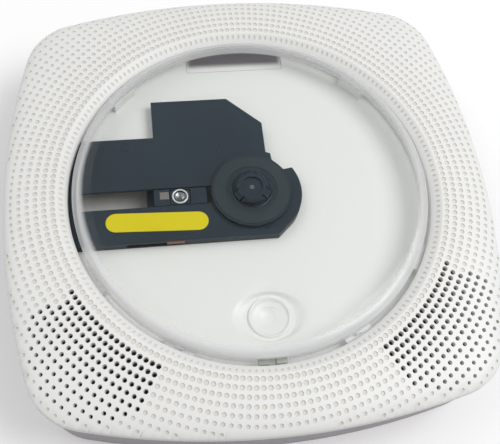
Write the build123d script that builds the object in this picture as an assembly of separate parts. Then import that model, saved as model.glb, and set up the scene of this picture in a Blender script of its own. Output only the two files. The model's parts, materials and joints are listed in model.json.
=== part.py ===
"""Wall mounted CD player with a lift-off clear cover, in millimetres.

Everything is modelled lying on its back: x runs right, y runs up the wall, and z is the distance from
the wall towards the viewer. stand_up() turns each piece upright, so that the front faces -Y and +Z is up.
The origin is the centre of the wall bracket's back face.
"""
import math
import os

from build123d import *

# Body outline: four bulged sides joined by four round corners
body_width = 200.0
side_radius = 290.0
corner_radius = 25.0

# Depths from the wall
crest_depth = 42.0
crown_drop = 6.5
lip_height = 2.0
shell_wall = 2.0
back_gap = 1.0

# Crowned front: rises from the outline to a crest round the well mouth
crown_radius = 76.8
crest_radius = 78.3
crown_slices = 5
crown_easing = 1.4
crown_start = 0.02
crown_squaring = 0.6
cavity_slices = 2
mouth_radius = 74.2
mouth_drop = 3.0
mouth_edge = 2.0
flange_outer = 79.5

# Rear housing
rear_inset = 0.7
rear_wall = 2.2
rear_taper = 3.0
rear_edge_bevel = 3.5

# Disc well
well_undercut = 1.5
well_wall = 2.0
floor_drop = 9.5
floor_thickness = 2.0
ledge_width = 5.5
ledge_length = 12.0
ledge_angles = (28, 62, -28, -62, 135, -135)
ear_radius = 3.6
ear_reach = 2.9
ear_thickness = 3.0
ear_angles = (25, 155, -110, -70)
stake_radius = 1.2
stake_length = 3.6
stake_fit = 0.05
recess_centre_y = -52.2
recess_radius = 13.0
recess_flat_radius = 4.3
recess_depth = 2.6
recess_wall = 1.6

# Dust cover
cover_radius = 72.3
cover_wall = 1.8
cover_proud = 3.0
cover_shoulder = 8.5
cover_seat_gap = 0.3
notch_width = 12.4
notch_height = 4.6
lug_angle = 28.0
lug_width = 3.0
lug_height = 1.5
lug_reach = 1.2

# Disc and turntable
disc_bore = 15.0
disc_seat_depth = 39.0
turntable_radius = 16.5
turntable_thickness = 1.6
hub_clearance = 0.05
hub_height = 3.0
hub_bevel = 1.2
hub_dish_radius = 4.4
hub_dish_depth = 1.0
mat_inner = 10.6
mat_outer = 15.6
mat_depth = 0.5
mat_proud = 0.2
mat_fit = 0.02
tongue_count = 3
tongue_width = 3.6
tongue_slit = 0.5
tongue_proud = 0.3
tongue_height = 1.0

# Spindle and its motor
spindle_radius = 1.0
spindle_fit = 0.05
spindle_motor_radius = 11.5
motor_boss_radius = 3.2
motor_boss_height = 0.8
motor_edge = 0.6
shaft_lift = 1.2

# Deck cover: a plate with a skirt that stands on the well's floor
deck_top = 37.0
deck_plate = 1.5
deck_skirt = 1.2
deck_top_edge = 46.5
deck_left_edge = 28.5
deck_bottom_edge = -19.8
deck_hump_left = -38.6
deck_hump_right = -6.0
deck_right_edge = 8.1
deck_slope_foot = 33.2
deck_round = 21.0
deck_overlap = 3.4
spindle_hole = 8.0
deck_tab_points = ((-50.6, 24.6), (5.2, 15.2), (4.6, -15.4))
deck_tab_radius = 3.0
small_screw_radius = 0.9
small_head_radius = 1.7
small_head_height = 0.8
slot_half_width = 4.1
slot_left = -69.7
slot_right = -10.4
flex_window_left = -52.0
flex_window_right = -29.6
flex_window_height = 2.6

# Deck frame below the well
frame_bottom = 20.5
frame_plate = 2.0
frame_left = -75.4
frame_right = 17.5
frame_low = -26.0
frame_high = 48.0
frame_corner = 4.0

# Guide rods and the carriage that slides on them
rod_radius = 1.5
rod_depth = 27.0
rod_fit = 0.05
main_rod_y = 14.0
side_rod_y = -12.0
rod_post = 3.0
rod_post_half = 3.0
carriage_left = -42.8
carriage_right = -19.6
carriage_bottom = 24.2
carriage_top = 30.2
sleeve_length = 6.0
fork_length = 8.0
sleeve_radius = 3.0

# Pickup head and lens
lens_x = -29.3
lens_top = 37.4
head_left = -39.9
head_right = -18.4
head_half_width = 3.7
head_top = 36.7
holder_radius = 4.0
holder_half_length = 3.1
focus_gap = 0.3
focus_travel = 0.5
holder_lift = 0.8
holder_rim = 0.5
lens_seat = 1.0
lens_rim_height = 0.6
sensor_offset = 6.3
sensor_y = 0.7
sensor_half = 1.1
pickup_in = 6.3
pickup_out = 28.7

# Sled gears: motor pinion, stepped drive gear and rack
tooth_module = 0.8
pressure_angle = 20.0
tip_ease = 0.06
gear_holes = 5
gear_hole_reach = 9.0
gear_hole_radius = 2.6
rack_line_y = 23.0
drive_small_teeth = 12
drive_large_teeth = 36
pinion_teeth = 9
drive_x = -21.8
pinion_angle = 35.0
gear_backlash = 0.16
gear_low = 33.3
gear_thick = 1.5
small_gear_bottom = 27.0
rack_bottom = 27.4
rack_top = 30.2
rack_back = 2.2
post_radius = 1.2
post_fit = 0.06
sled_motor_radius = 8.0
sled_motor_top = 30.2
pinion_shaft_radius = 0.75

# Dampers and their screws
damper_points = ((-52.0, 37.0), (12.5, 38.0), (-58.0, -22.0), (12.5, -22.0))
damper_radius = 4.5
damper_height = 3.5
boss_radius = 3.6
screw_radius = 1.3
screw_fit = 0.05
head_radius = 2.7
head_height = 1.6

# Display at the top of the well
window_low = 64.4
window_high = 73.4
window_half_width = 21.3
window_thickness = 1.2
window_fit = 0.15
module_depth = 5.0
digits_half_width = 16.0
display_half_width = 24.0
display_post_x = 20.5
display_post_y = 62.6
display_post_radius = 1.9

# Yellow label on the deck cover, with round ends
label_length = 41.0
label_height = 8.2
label_thickness = 0.2
label_x = -39.2
label_y = -11.0
label_turn = -2.4

# Case posts and screws: one post in each upper corner and one on either side of each speaker
case_post_radius = 3.2
upper_post_inset = 13.3
speaker_post_gap = 3.0
speaker_post_angles = (52.25, 217.75)
case_post_meet = 20.0
rear_boss_radius = 4.6
counterbore_radius = 3.2
counterbore_seat = 3.0
case_screw_grip = 9.0

# Speakers in the lower corners
speaker_gap = 2.0
speaker_margin = 4.8
speaker_front = 34.6
speaker_rim = 2.1
basket_depth = 9.0
basket_wall = 1.0
magnet_share = 0.63
magnet_height = 6.0
coil_share = 0.35
frame_rim = 1.4
cone_ledge = 0.8
cone_sheet = 0.5
cone_drop = 4.2
cone_seat = 1.0
cone_fit = 0.1
surround_width = 2.6

# Main board, sockets and buttons
board_bottom = 9.0
board_thickness = 1.6
board_left = -22.0
board_right_inset = 10.0
board_low = -44.0
board_high = 36.0
standoff_radius = 3.0
socket_depth = 15.0
dc_y = -30.0
dc_pin_length = 9.0
aux_y = -12.0
aux_bore = 1.8
usb_y = 6.0
switch_y = 24.0
switch_travel = 3.0
button_count = 6
button_pitch = 15.0
button_length = 10.0
button_width = 5.0
button_depth = 20.0
button_proud = 1.2
button_travel = 0.8
button_corner = 1.2
button_edge = 0.5
button_board_half = 6.0
button_board_end = 9.0
button_fit = 0.3
button_flange = 1.0
plunger_length = 2.0
stem_gap = 0.05

# Vents in the back
vent_count = 9
vent_pitch = 9.0
vent_y = -58.0
vent_length = 22.0
vent_width = 3.0

# Wall bracket in a recess of the rear housing
bracket_width = 70.0
bracket_height = 40.0
bracket_thickness = 1.5
bracket_corner = 5.0
bracket_hole_x = 50.0
bracket_hole_y = 22.0
bracket_hole_radius = 2.25
bracket_fit = 1.0
bracket_gap = 0.3
hook_x = 18.0
hook_width = 8.0
hook_stem = 2.0
hook_lip = 6.0
hook_sheet = 1.4
hook_clearance = 0.4
pad_radius = 5.0
pad_sink = 0.6
pad_inset = 34.0

# Derived places
half_width = body_width / 2
side_centre = side_radius - half_width
corner_centre = (math.sqrt(2 * (side_radius - corner_radius) ** 2 - side_centre**2) - side_centre) / 2
corner_reach = math.sqrt(2) * corner_centre + corner_radius
edge_depth = crest_depth - crown_drop
lip_end = edge_depth - lip_height
flange_under = crest_depth - mouth_drop - mouth_edge
well_inner = mouth_radius + well_undercut
well_outer = well_inner + well_wall
floor_top = crest_depth - floor_drop
floor_under = floor_top - floor_thickness
rear_inside = back_gap + rear_wall
cover_front = crest_depth + cover_proud
cover_seat = flange_under
turntable_under = disc_seat_depth - turntable_thickness
frame_top = frame_bottom + frame_plate
spindle_motor_top = gear_low
boss_end = frame_top + damper_height
board_top = board_bottom + board_thickness
small_gear_radius = tooth_module * drive_small_teeth / 2
large_gear_radius = tooth_module * drive_large_teeth / 2
pinion_radius = tooth_module * pinion_teeth / 2
drive_y = rack_line_y + small_gear_radius
pinion_x = drive_x + (large_gear_radius + pinion_radius) * math.cos(math.radians(pinion_angle))
pinion_y = drive_y + (large_gear_radius + pinion_radius) * math.sin(math.radians(pinion_angle))
rod_left = carriage_left - pickup_out - 0.4 - rod_post
rod_right = carriage_right + pickup_in + 0.4 + rod_post
flex_y = deck_bottom_edge + deck_skirt
gear_high = gear_low + gear_thick
rack_low_y = rack_line_y - 1.25 * tooth_module
holder_floor = carriage_top + holder_lift
lens_bottom = head_top - lens_seat
sensor_x = lens_x - sensor_offset
speaker_radius = (corner_reach - speaker_margin - well_outer - speaker_gap) / 2
speaker_mouth = speaker_radius - speaker_rim
magnet_radius = magnet_share * speaker_radius
coil_radius = coil_share * speaker_radius
speaker_x = (well_outer + speaker_gap + speaker_radius) / math.sqrt(2)
speaker_y = -speaker_x
board_right = half_width - board_right_inset


def polar(radius, angle):
    """Point at a radius and an angle in degrees from the x axis."""
    return radius * math.cos(math.radians(angle)), radius * math.sin(math.radians(angle))


def from_bottom(radius, angle):
    """Point at a radius and an angle in degrees from straight down, positive to the right."""
    return radius * math.sin(math.radians(angle)), -radius * math.cos(math.radians(angle))


def rounded_square(half, reach, corner):
    """Face with four side arcs and four corner arcs in tangents: half-width, half-diagonal, corner radius."""
    middle = (reach - corner) / math.sqrt(2)
    narrowing = half - corner
    side_back = (narrowing**2 - 2 * middle**2) / (2 * (middle - narrowing))
    joint = math.atan2(middle, middle + side_back)
    tangent_x = (half + side_back) * math.cos(joint) - side_back
    tangent_y = (half + side_back) * math.sin(joint)
    corner_mid = reach / math.sqrt(2)
    edges = []
    for quarter in range(4):
        turn = Rot(0, 0, 90 * quarter)
        side = ThreePointArc((tangent_x, -tangent_y), (half, 0), (tangent_x, tangent_y))
        bend = ThreePointArc((tangent_x, tangent_y), (corner_mid, corner_mid), (tangent_y, tangent_x))
        edges += [turn * side, turn * bend]
    return make_face(edges)


def body_outline(inset):
    """Body outline drawn in by inset."""
    return rounded_square(half_width - inset, corner_reach - inset, corner_radius - inset)


def crown_slice(share, inset, depth):
    """Face between the round crest (share 0) and the body outline (share 1), at one depth."""
    half = crown_radius + share * (half_width - inset - crown_radius)
    reach = crown_radius + share * (corner_reach - inset - crown_radius)
    corner = crown_radius + share**crown_squaring * (corner_radius - inset - crown_radius)
    return Pos(0, 0, depth) * rounded_square(half, reach, corner)


def crown_form(inset, top, drop, foot, count):
    """Solid under a crowned face: an elliptic section all round, then a straight edge down to foot."""
    slices = []
    for step in range(count + 1):
        turn = math.radians(90.0 * (step / count) ** crown_easing)
        share = max(math.sin(turn), crown_start)
        slices.append(crown_slice(share, inset, top - drop * (1 - math.cos(turn))))
    return loft(slices, ruled=True) + extrude(slices[-1], top - drop - foot, dir=(0, 0, -1))


def disc(radius, bottom, top, x=0.0, y=0.0):
    """Upright cylinder between two depths."""
    return Pos(x, y, (bottom + top) / 2) * Cylinder(radius, top - bottom)


def block(left, right, low, high, bottom, top):
    """Box between six planes."""
    centre = Pos((left + right) / 2, (low + high) / 2, (bottom + top) / 2)
    return centre * Box(right - left, high - low, top - bottom)


def ring(outer, inner, bottom, top, x=0.0, y=0.0):
    """Tube between two depths."""
    return disc(outer, bottom, top, x, y) - disc(inner, bottom - 1, top + 1, x, y)


def turned(points):
    """Solid of revolution about the z axis, from (radius, depth) points."""
    profile = make_face(Polyline(*points, close=True))
    return revolve(Plane.XZ * profile, Axis.Z)


def front_housing():
    """Crowned shell with its lip, mouth flange, case posts, speaker seats and stakes for the well."""
    shell = crown_form(0, crest_depth, crown_drop, lip_end, crown_slices)
    slope = (crest_radius - mouth_radius) / mouth_drop
    shell -= turned([
        (0, lip_end - 1),
        (mouth_radius, lip_end - 1),
        (mouth_radius, crest_depth - mouth_drop),
        (crest_radius + slope, crest_depth + 1),
        (0, crest_depth + 1),
    ])
    cavity = crown_form(shell_wall, crest_depth - shell_wall, crown_drop - 0.5, lip_end - 1, cavity_slices)
    cavity -= disc(flange_outer, flange_under, crest_depth + 1)
    for x, y in ear_points():
        cavity -= disc(ear_radius, flange_under, crest_depth + 1, x, y)
    for x, y in post_points():
        cavity -= disc(case_post_radius, lip_end - 2, crest_depth + 1, x, y)
    for side in (-1, 1):
        cavity -= ring(speaker_radius, speaker_mouth, speaker_front, crest_depth + 1,
                       side * speaker_x, speaker_y)
    shell -= cavity
    for x, y in post_points():
        shell += disc(case_post_radius, case_post_meet, lip_end, x, y)
        shell -= disc(screw_radius + screw_fit, case_post_meet - 1, case_post_meet + case_screw_grip + 1, x, y)
    for x, y in ear_points():
        shell += disc(stake_radius, flange_under - stake_length, flange_under + 0.5, x, y)
    return shell


def post_points():
    """Places of the posts that take the case screws."""
    beside = speaker_radius + case_post_radius + speaker_post_gap
    points = []
    for side in (-1, 1):
        x, y = polar(corner_reach - upper_post_inset, 45)
        points.append((side * x, y))
        for angle in speaker_post_angles:
            x, y = polar(beside, angle)
            points.append((side * (speaker_x + x), speaker_y + y))
    return points


def ear_points():
    """Places of the stakes that hold the well's ears to the front housing."""
    return [polar(well_outer + ear_reach, angle) for angle in ear_angles]


def deck_outline(grow):
    """Outline of the black deck, moved outwards by grow."""
    left_top = math.sqrt((well_inner - 0.3) ** 2 - deck_left_edge**2)
    left_low = math.sqrt((well_inner - 0.3) ** 2 - deck_bottom_edge**2)
    chamfer = polar(deck_round, -40)
    step = polar(deck_round, 29.5)
    lines = Polyline(
        (-left_top, deck_left_edge),
        (deck_hump_left, deck_left_edge),
        (deck_hump_left, deck_top_edge),
        (deck_hump_right, deck_top_edge),
        (deck_right_edge, deck_slope_foot),
        (deck_right_edge, 18.6),
        (10.0, 17.8),
        (10.2, 14.8),
        (14.2, 9.7),
        step,
    )
    nose = ThreePointArc(step, polar(deck_round, 0), chamfer)
    foot = Polyline(chamfer, (9.4, deck_bottom_edge), (-left_low, deck_bottom_edge))
    end = ThreePointArc((-left_low, deck_bottom_edge), (-(well_inner - 0.3), 0), (-left_top, deck_left_edge))
    face = make_face([*lines.edges(), nose, *foot.edges(), end])
    if grow:
        face = offset(face, grow, kind=Kind.INTERSECTION)
    return face


def ledges():
    """Short shelves round the well's wall that carry the dust cover."""
    top = cover_seat - cover_seat_gap
    band = ring(well_inner + 0.5, well_inner - ledge_width, floor_top - 0.5, top)
    sectors = []
    for angle in ledge_angles:
        x, y = from_bottom(well_inner, angle)
        wedge = Box(ledge_length, 3 * ledge_width, 4 * floor_drop)
        sectors.append(Pos(x, y, floor_top) * Rot(0, 0, angle) * wedge)
    return [band & sector for sector in sectors]


def disc_well():
    """White tray: floor, wall, cover ledges, finger recess, deck opening and display opening."""
    tray = disc(well_outer, floor_under, flange_under)
    recess_under = recess_depth + recess_wall - floor_thickness
    tray += Pos(0, recess_centre_y, floor_under - recess_under / 2) * Cone(
        recess_flat_radius + recess_wall, recess_radius, recess_under)
    for x, y in ear_points():
        tray += disc(ear_radius, flange_under - ear_thickness, flange_under, x, y)
    tray -= disc(well_inner, floor_top, flange_under + 1)
    for x, y in ear_points():
        tray -= disc(stake_radius + stake_fit, floor_under, flange_under + 1, x, y)
    for shelf in ledges():
        tray += shelf
    tray -= Pos(0, recess_centre_y, floor_top - recess_depth / 2) * Cone(
        recess_flat_radius, recess_radius, recess_depth)
    tray -= extrude(Pos(0, 0, floor_under - 1) * deck_outline(-deck_overlap), floor_thickness + 2)
    for x, y in deck_tab_points:
        tray += disc(deck_tab_radius, floor_under, floor_top, x, y)
        tray -= disc(small_screw_radius + screw_fit, floor_under - 1, floor_top + 1, x, y)
    tray -= extrude(Pos(0, 0, floor_under - 1) * window_face(window_fit), floor_thickness + 2)
    tray -= block(flex_window_left, flex_window_right, flex_y - 0.3, flex_y + 0.6,
                  floor_under - 1, floor_top + 1)
    for x, y in damper_points:
        tray += disc(boss_radius, boss_end, floor_under, x, y)
        tray -= disc(screw_radius + screw_fit, boss_end - 1, floor_under + 0.5, x, y)
    board_face = floor_top - window_thickness - module_depth
    for x in (-display_post_x, display_post_x):
        tray += disc(display_post_radius, board_face, floor_under, x, display_post_y)
    return tray


def window_face(grow):
    """Display opening: flat lower edge, arched upper edge."""
    top = window_high + grow
    low = window_low - grow
    side = window_half_width + grow
    shoulder = top - (window_half_width**2) / (2 * (window_high - 1))
    arch = ThreePointArc((-side, shoulder), (0, top), (side, shoulder))
    rest = Polyline((side, shoulder), (side, low), (-side, low), (-side, shoulder))
    return make_face([arch, *rest.edges()])


def display_window():
    """Dark tinted window, flush with the well's floor."""
    return extrude(Pos(0, 0, floor_top - window_thickness) * window_face(0), window_thickness)


def display_module():
    """Board with a digit block behind the window."""
    face_depth = floor_top - window_thickness
    board_face = face_depth - module_depth
    digits = block(-digits_half_width, digits_half_width, window_low + 0.8, window_high - 3.2,
                   board_face, face_depth)
    return digits + block(-display_half_width, display_half_width, window_low - 3, window_high + 1,
                          board_face - board_thickness, board_face)


def dust_cover():
    """Clear dish with a rounded shoulder, a finger notch and two lugs on its rim."""
    rim = cover_seat
    foot = crest_depth - 0.4
    rise = cover_front - foot
    inner_radius = cover_radius - cover_wall
    cover = disc(cover_radius, rim, foot) + shoulder(cover_radius, foot, rise)
    cover -= disc(inner_radius, rim - 1, foot - cover_wall) + shoulder(inner_radius, foot - cover_wall, rise)
    cover -= block(-notch_width / 2, notch_width / 2, -cover_radius - 1, -cover_radius + cover_wall + 3,
                   rim - 1, rim - 1 + notch_height)
    for side in (-1, 1):
        x, y = from_bottom(cover_radius + lug_reach / 2 - 0.3, side * lug_angle)
        cover += Pos(x, y, rim + lug_height / 2) * Rot(0, 0, side * lug_angle) * Box(
            lug_width, lug_reach + 0.6, lug_height)
    return cover


def shoulder(radius, foot, rise):
    """Flat-topped cap whose rim curves down in an arc."""
    flat = radius - cover_shoulder
    arc = TangentArc((flat, foot + rise), (radius, foot), tangent=(1, 0))
    profile = make_face([
        Line((0, foot), (radius, foot)),
        arc,
        Line((flat, foot + rise), (0, foot + rise)),
        Line((0, foot + rise), (0, foot)),
    ])
    return revolve(Plane.XZ * profile, Axis.Z)


def deck_cover():
    """Black plate with a skirt, a pickup slot, the spindle hole and the flex window."""
    plate = extrude(Pos(0, 0, floor_top) * deck_outline(0), deck_top - floor_top)
    inside = Pos(0, 0, floor_top - 1) * deck_outline(-deck_skirt)
    cover = plate - extrude(inside, deck_top - floor_top + 1 - deck_plate)
    cover -= block(slot_left, slot_right, -slot_half_width, slot_half_width, floor_top, deck_top + 1)
    cover -= disc(spindle_hole, floor_top, deck_top + 1)
    window_foot = floor_top + 0.6
    cover -= block(flex_window_left, flex_window_right, deck_bottom_edge - 1, flex_y + 0.5,
                   window_foot, window_foot + flex_window_height)
    for x, y in deck_tab_points:
        cover += disc(deck_tab_radius - 0.6, floor_top, deck_top - deck_plate, x, y)
        cover -= disc(small_screw_radius + 0.1, floor_top - 1, deck_top + 1, x, y)
        cover -= disc(small_head_radius + 0.1, deck_top - small_head_height - 0.1, deck_top + 1, x, y)
    return cover


def turntable():
    """Platter with a centring hub, whose sprung tongues hold the disc's bore."""
    hub = disc_bore / 2 - hub_clearance
    top = disc_seat_depth + hub_height
    form = turned([
        (spindle_radius + spindle_fit, turntable_under),
        (turntable_radius, turntable_under),
        (turntable_radius, disc_seat_depth),
        (mat_outer, disc_seat_depth),
        (mat_outer, disc_seat_depth - mat_depth),
        (mat_inner, disc_seat_depth - mat_depth),
        (mat_inner, disc_seat_depth),
        (hub, disc_seat_depth),
        (hub, top - hub_bevel),
        (hub - hub_bevel, top),
        (hub_dish_radius, top),
        (hub_dish_radius, top - hub_dish_depth),
        (spindle_radius + spindle_fit, top - hub_dish_depth),
    ])
    barb_top = top - hub_bevel
    for step in range(tongue_count):
        turn = Rot(0, 0, 90 + 360 * step / tongue_count)
        barb = block(hub - 1, hub + tongue_proud, -tongue_width / 2, tongue_width / 2,
                     barb_top - tongue_height, barb_top)
        form += turn * chamfer(barb.edges().filter_by(Axis.Y).sort_by(Axis.X)[-2:], tongue_proud)
        for side in (-1, 1):
            middle = side * (tongue_width + tongue_slit) / 2
            slit = block(hub_dish_radius + 0.8, hub + 1, middle - tongue_slit / 2, middle + tongue_slit / 2,
                         disc_seat_depth + 0.4, top + 1)
            form -= turn * slit
    return form


def turntable_mat():
    """Rubber ring that the disc rests on."""
    return ring(mat_outer - mat_fit, mat_inner + mat_fit,
                disc_seat_depth - mat_depth, disc_seat_depth + mat_proud)


def spindle_shaft():
    """Motor shaft, pressed into the turntable."""
    return disc(spindle_radius, frame_top + shaft_lift, disc_seat_depth + hub_height - hub_dish_depth)


def spindle_motor():
    """Flat motor with a bearing boss."""
    body = disc(spindle_motor_radius, frame_top, spindle_motor_top)
    body = chamfer(body.edges().filter_by(GeomType.CIRCLE).sort_by(Axis.Z)[-1:], motor_edge)
    body += disc(motor_boss_radius, spindle_motor_top, spindle_motor_top + motor_boss_height)
    return body - disc(spindle_radius + spindle_fit, frame_top + 1, spindle_motor_top + 2)


def sled_motor():
    """Small motor for the sled's gears."""
    body = disc(sled_motor_radius, frame_top, sled_motor_top, pinion_x, pinion_y)
    body = chamfer(body.edges().filter_by(GeomType.CIRCLE).sort_by(Axis.Z)[-1:], motor_edge)
    return body - disc(pinion_shaft_radius + spindle_fit, frame_top + 1, sled_motor_top + 1, pinion_x, pinion_y)


def deck_frame():
    """Pressed plate under the well, with rod posts and the drive gear's foot."""
    plate = block(frame_left, frame_right, frame_low, frame_high, frame_bottom, frame_top)
    plate = fillet(plate.edges().filter_by(Axis.Z), frame_corner)
    plate = plate & disc(well_inner, frame_bottom - 1, frame_top + 1)
    for x, y in damper_points:
        plate -= disc(screw_radius + 0.3, frame_bottom - 1, frame_top + 1, x, y)
    for rod_y in (main_rod_y, side_rod_y):
        for left in (rod_left, rod_right - rod_post):
            plate += block(left, left + rod_post, rod_y - rod_post_half, rod_y + rod_post_half,
                           frame_top - 1, rod_depth + rod_radius + 1.3)
        bore = Pos((rod_left + rod_right) / 2, rod_y, rod_depth) * Rot(0, 90, 0)
        plate -= bore * Cylinder(rod_radius + rod_fit, rod_right - rod_left + 2)
    plate += disc(post_radius + 1.8, frame_top, small_gear_bottom - 0.2, drive_x, drive_y)
    return plate - disc(post_radius, frame_bottom - 1, gear_high, drive_x, drive_y)


def gear_post():
    """Axle pin of the drive gear."""
    pin = disc(post_radius, frame_bottom, gear_high + 0.4, drive_x, drive_y)
    return pin + disc(post_radius + 0.7, gear_high + 0.15, gear_high + 0.5, drive_x, drive_y)


def guide_rods():
    """Two polished rods that carry the pickup."""
    rod = Rot(0, 90, 0) * Cylinder(rod_radius, rod_right - rod_left)
    centre = (rod_left + rod_right) / 2
    return Compound([Pos(centre, rod_y, rod_depth) * rod for rod_y in (main_rod_y, side_rod_y)])


def pickup_carriage():
    """Moulded carriage: two sleeves on the main rod, a fork on the side rod and arms under the rack."""
    body = block(carriage_left, carriage_right, side_rod_y + 2.6, main_rod_y - 2.0,
                 carriage_bottom, carriage_top)
    body = fillet(body.edges().filter_by(Axis.Z), 2.0)
    arm_low = rod_depth - 2.4
    for left in (carriage_left, carriage_right - sleeve_length):
        sleeve = Rot(0, 90, 0) * Cylinder(sleeve_radius, sleeve_length)
        body += Pos(left + sleeve_length / 2, main_rod_y, rod_depth) * sleeve
        body += block(left, left + sleeve_length, main_rod_y - 3.5, main_rod_y, arm_low, rod_depth + 2.4)
        body += block(left, left + sleeve_length, main_rod_y, rack_low_y - 0.4, arm_low, rack_bottom)
    centre = (carriage_left + carriage_right) / 2
    fork_low = side_rod_y - 1.2
    body += block(centre - fork_length / 2, centre + fork_length / 2, fork_low, side_rod_y + 3.2,
                  rod_depth - 2.8, rod_depth + 2.8)
    body -= Pos(centre, main_rod_y, rod_depth) * Rot(0, 90, 0) * Cylinder(
        rod_radius + rod_fit, carriage_right - carriage_left + 2)
    gap = rod_radius + rod_fit
    body -= block(centre - fork_length / 2 - 1, centre + fork_length / 2 + 1, fork_low - 1, side_rod_y + gap,
                  rod_depth - gap, rod_depth + gap)
    body -= block(head_left + 1.5, head_right - 3.5, -2.6, 6.0, carriage_bottom - 1, carriage_bottom + 3.0)
    return body


def rack_tooth(x):
    """Corner points of one rack tooth centred on x."""
    lean = tooth_module * math.tan(math.radians(pressure_angle))
    half = 0.25 * math.pi * tooth_module - gear_backlash / 2
    top = rack_line_y + tooth_module
    return ((x - half - 1.25 * lean, rack_low_y), (x + half + 1.25 * lean, rack_low_y),
            (x + half - lean, top), (x - half + lean, top))


def rack_span():
    """First tooth centre and the number of teeth, so that the gear stays on the rack over the travel."""
    pitch = math.pi * tooth_module
    before = math.ceil((pickup_in + 2 * pitch) / pitch)
    after = math.ceil((pickup_out + 2 * pitch) / pitch)
    return drive_x - before * pitch, before + after + 1


def pickup_rack():
    """Toothed rack on the carriage's arms."""
    start, count = rack_span()
    pitch = math.pi * tooth_module
    right = start + pitch * (count - 0.5)
    points = [(carriage_left, rack_low_y - rack_back), (right, rack_low_y - rack_back), (right, rack_low_y)]
    for step in reversed(range(count)):
        low_left, low_right, top_right, top_left = rack_tooth(start + pitch * step)
        points += [low_right, top_right, top_left, low_left]
    points.append((carriage_left, rack_low_y))
    face = make_face(Polyline(*points, close=True))
    return extrude(Pos(0, 0, rack_bottom) * face, rack_top - rack_bottom)


def gear_face(teeth, phase):
    """Spur gear outline with straight-flanked teeth, one tooth centred on the phase angle."""
    pitch_radius = tooth_module * teeth / 2
    root = pitch_radius - 1.25 * tooth_module
    tip = pitch_radius + tooth_module
    lean = tooth_module * math.tan(math.radians(pressure_angle))
    half = 0.25 * math.pi * tooth_module - gear_backlash / 2
    tip_half = half - lean - tip_ease
    root_half = half + 0.9 * lean
    points = []
    for tooth in range(teeth):
        centre = phase + 360.0 * tooth / teeth
        flank = ((root, -root_half), (pitch_radius, -half), (tip, -tip_half),
                 (tip, tip_half), (pitch_radius, half), (root, root_half))
        for radius, side in flank:
            points.append(polar(radius, centre + math.degrees(side / radius)))
    return make_face(Polyline(*points, close=True))


def drive_gear():
    """Stepped gear: the large wheel meets the motor pinion, the small one drives the rack."""
    large_face = gear_face(drive_large_teeth, pinion_angle + 180.0 / drive_large_teeth)
    small_face = gear_face(drive_small_teeth, -90.0 + 180.0 / drive_small_teeth)
    gear = extrude(Pos(drive_x, drive_y, gear_low) * large_face, gear_thick)
    gear += extrude(Pos(drive_x, drive_y, small_gear_bottom) * small_face, gear_low - small_gear_bottom)
    gear -= disc(post_radius + post_fit, small_gear_bottom - 1, gear_high + 1, drive_x, drive_y)
    for step in range(gear_holes):
        x, y = polar(gear_hole_reach, 360.0 * step / gear_holes)
        gear -= disc(gear_hole_radius, gear_low - 1, gear_high + 1, drive_x + x, drive_y + y)
    return gear


def motor_pinion():
    """Pinion with its shaft in the sled motor."""
    face = gear_face(pinion_teeth, pinion_angle + 180.0)
    pinion = extrude(Pos(pinion_x, pinion_y, gear_low) * face, gear_thick)
    return pinion + disc(pinion_shaft_radius, frame_top + shaft_lift, gear_high, pinion_x, pinion_y)


def pickup_head():
    """Narrow block that rises through the slot, open over the lens holder."""
    head = block(head_left, head_right, -head_half_width, head_half_width, carriage_top, head_top)
    head = fillet(head.edges().filter_by(Axis.Z), 0.8)
    reach = holder_radius + focus_gap
    half = holder_half_length + focus_gap
    head -= block(lens_x - reach, lens_x + reach, -half, half, holder_floor, head_top + 1)
    return head - block(sensor_x - sensor_half, sensor_x + sensor_half,
                        sensor_y - sensor_half, sensor_y + sensor_half, head_top - 0.4, head_top + 1)


def lens_holder():
    """Sprung holder that carries the lens and moves it to focus."""
    bottom = holder_floor + focus_travel + 0.2
    holder = block(lens_x - holder_radius, lens_x + holder_radius, -holder_half_length, holder_half_length,
                   bottom, head_top - 0.3)
    holder += disc(holder_half_length, bottom, head_top + 0.25, lens_x, 0)
    return holder - disc(holder_half_length - holder_rim, lens_bottom, head_top + 1, lens_x, 0)


def pickup_lens():
    """Objective lens in the holder's cup."""
    radius = holder_half_length - holder_rim - 0.02
    rim = disc(radius, lens_bottom, lens_bottom + lens_rim_height, lens_x, 0)
    crown_foot = lens_bottom + lens_rim_height
    return rim + Pos(lens_x, 0, crown_foot) * dome(radius - 0.35, lens_top - crown_foot)


def dome(radius, rise):
    """Cap of a sphere standing on the xy plane."""
    sphere_radius = (radius**2 + rise**2) / (2 * rise)
    ball = Pos(0, 0, rise - sphere_radius) * Sphere(sphere_radius)
    return ball & disc(radius + 1, 0, rise + 1)


def handling_label():
    """Bare yellow label on the deck cover."""
    face = SlotOverall(label_length, label_height)
    return extrude(Pos(label_x, label_y, deck_top) * Rot(0, 0, label_turn) * face, label_thickness)


def flex_cable():
    """Amber ribbon that shows in the deck cover's window and comes up through a slit in the well."""
    return block(flex_window_left + 0.5, flex_window_right - 0.5, flex_y, flex_y + 0.3,
                 frame_top, floor_top + 2.9)


def speaker_pair(piece):
    """The same piece in both lower corners."""
    return Compound([Pos(side * speaker_x, speaker_y, 0) * piece for side in (-1, 1)])


def speaker_frame():
    """Basket with a mounting rim and a step for the cone's edge, turned as one profile."""
    back = speaker_front - basket_depth
    rim_back = speaker_front - frame_rim
    ledge = speaker_front - cone_ledge
    return turned([
        (coil_radius, back),
        (magnet_radius, back),
        (speaker_mouth + 0.2, rim_back),
        (speaker_radius, rim_back),
        (speaker_radius, speaker_front),
        (speaker_mouth, speaker_front),
        (speaker_mouth, ledge),
        (speaker_mouth - cone_seat, ledge),
        (magnet_radius - basket_wall, back + basket_wall),
        (coil_radius, back + basket_wall),
    ])


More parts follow.
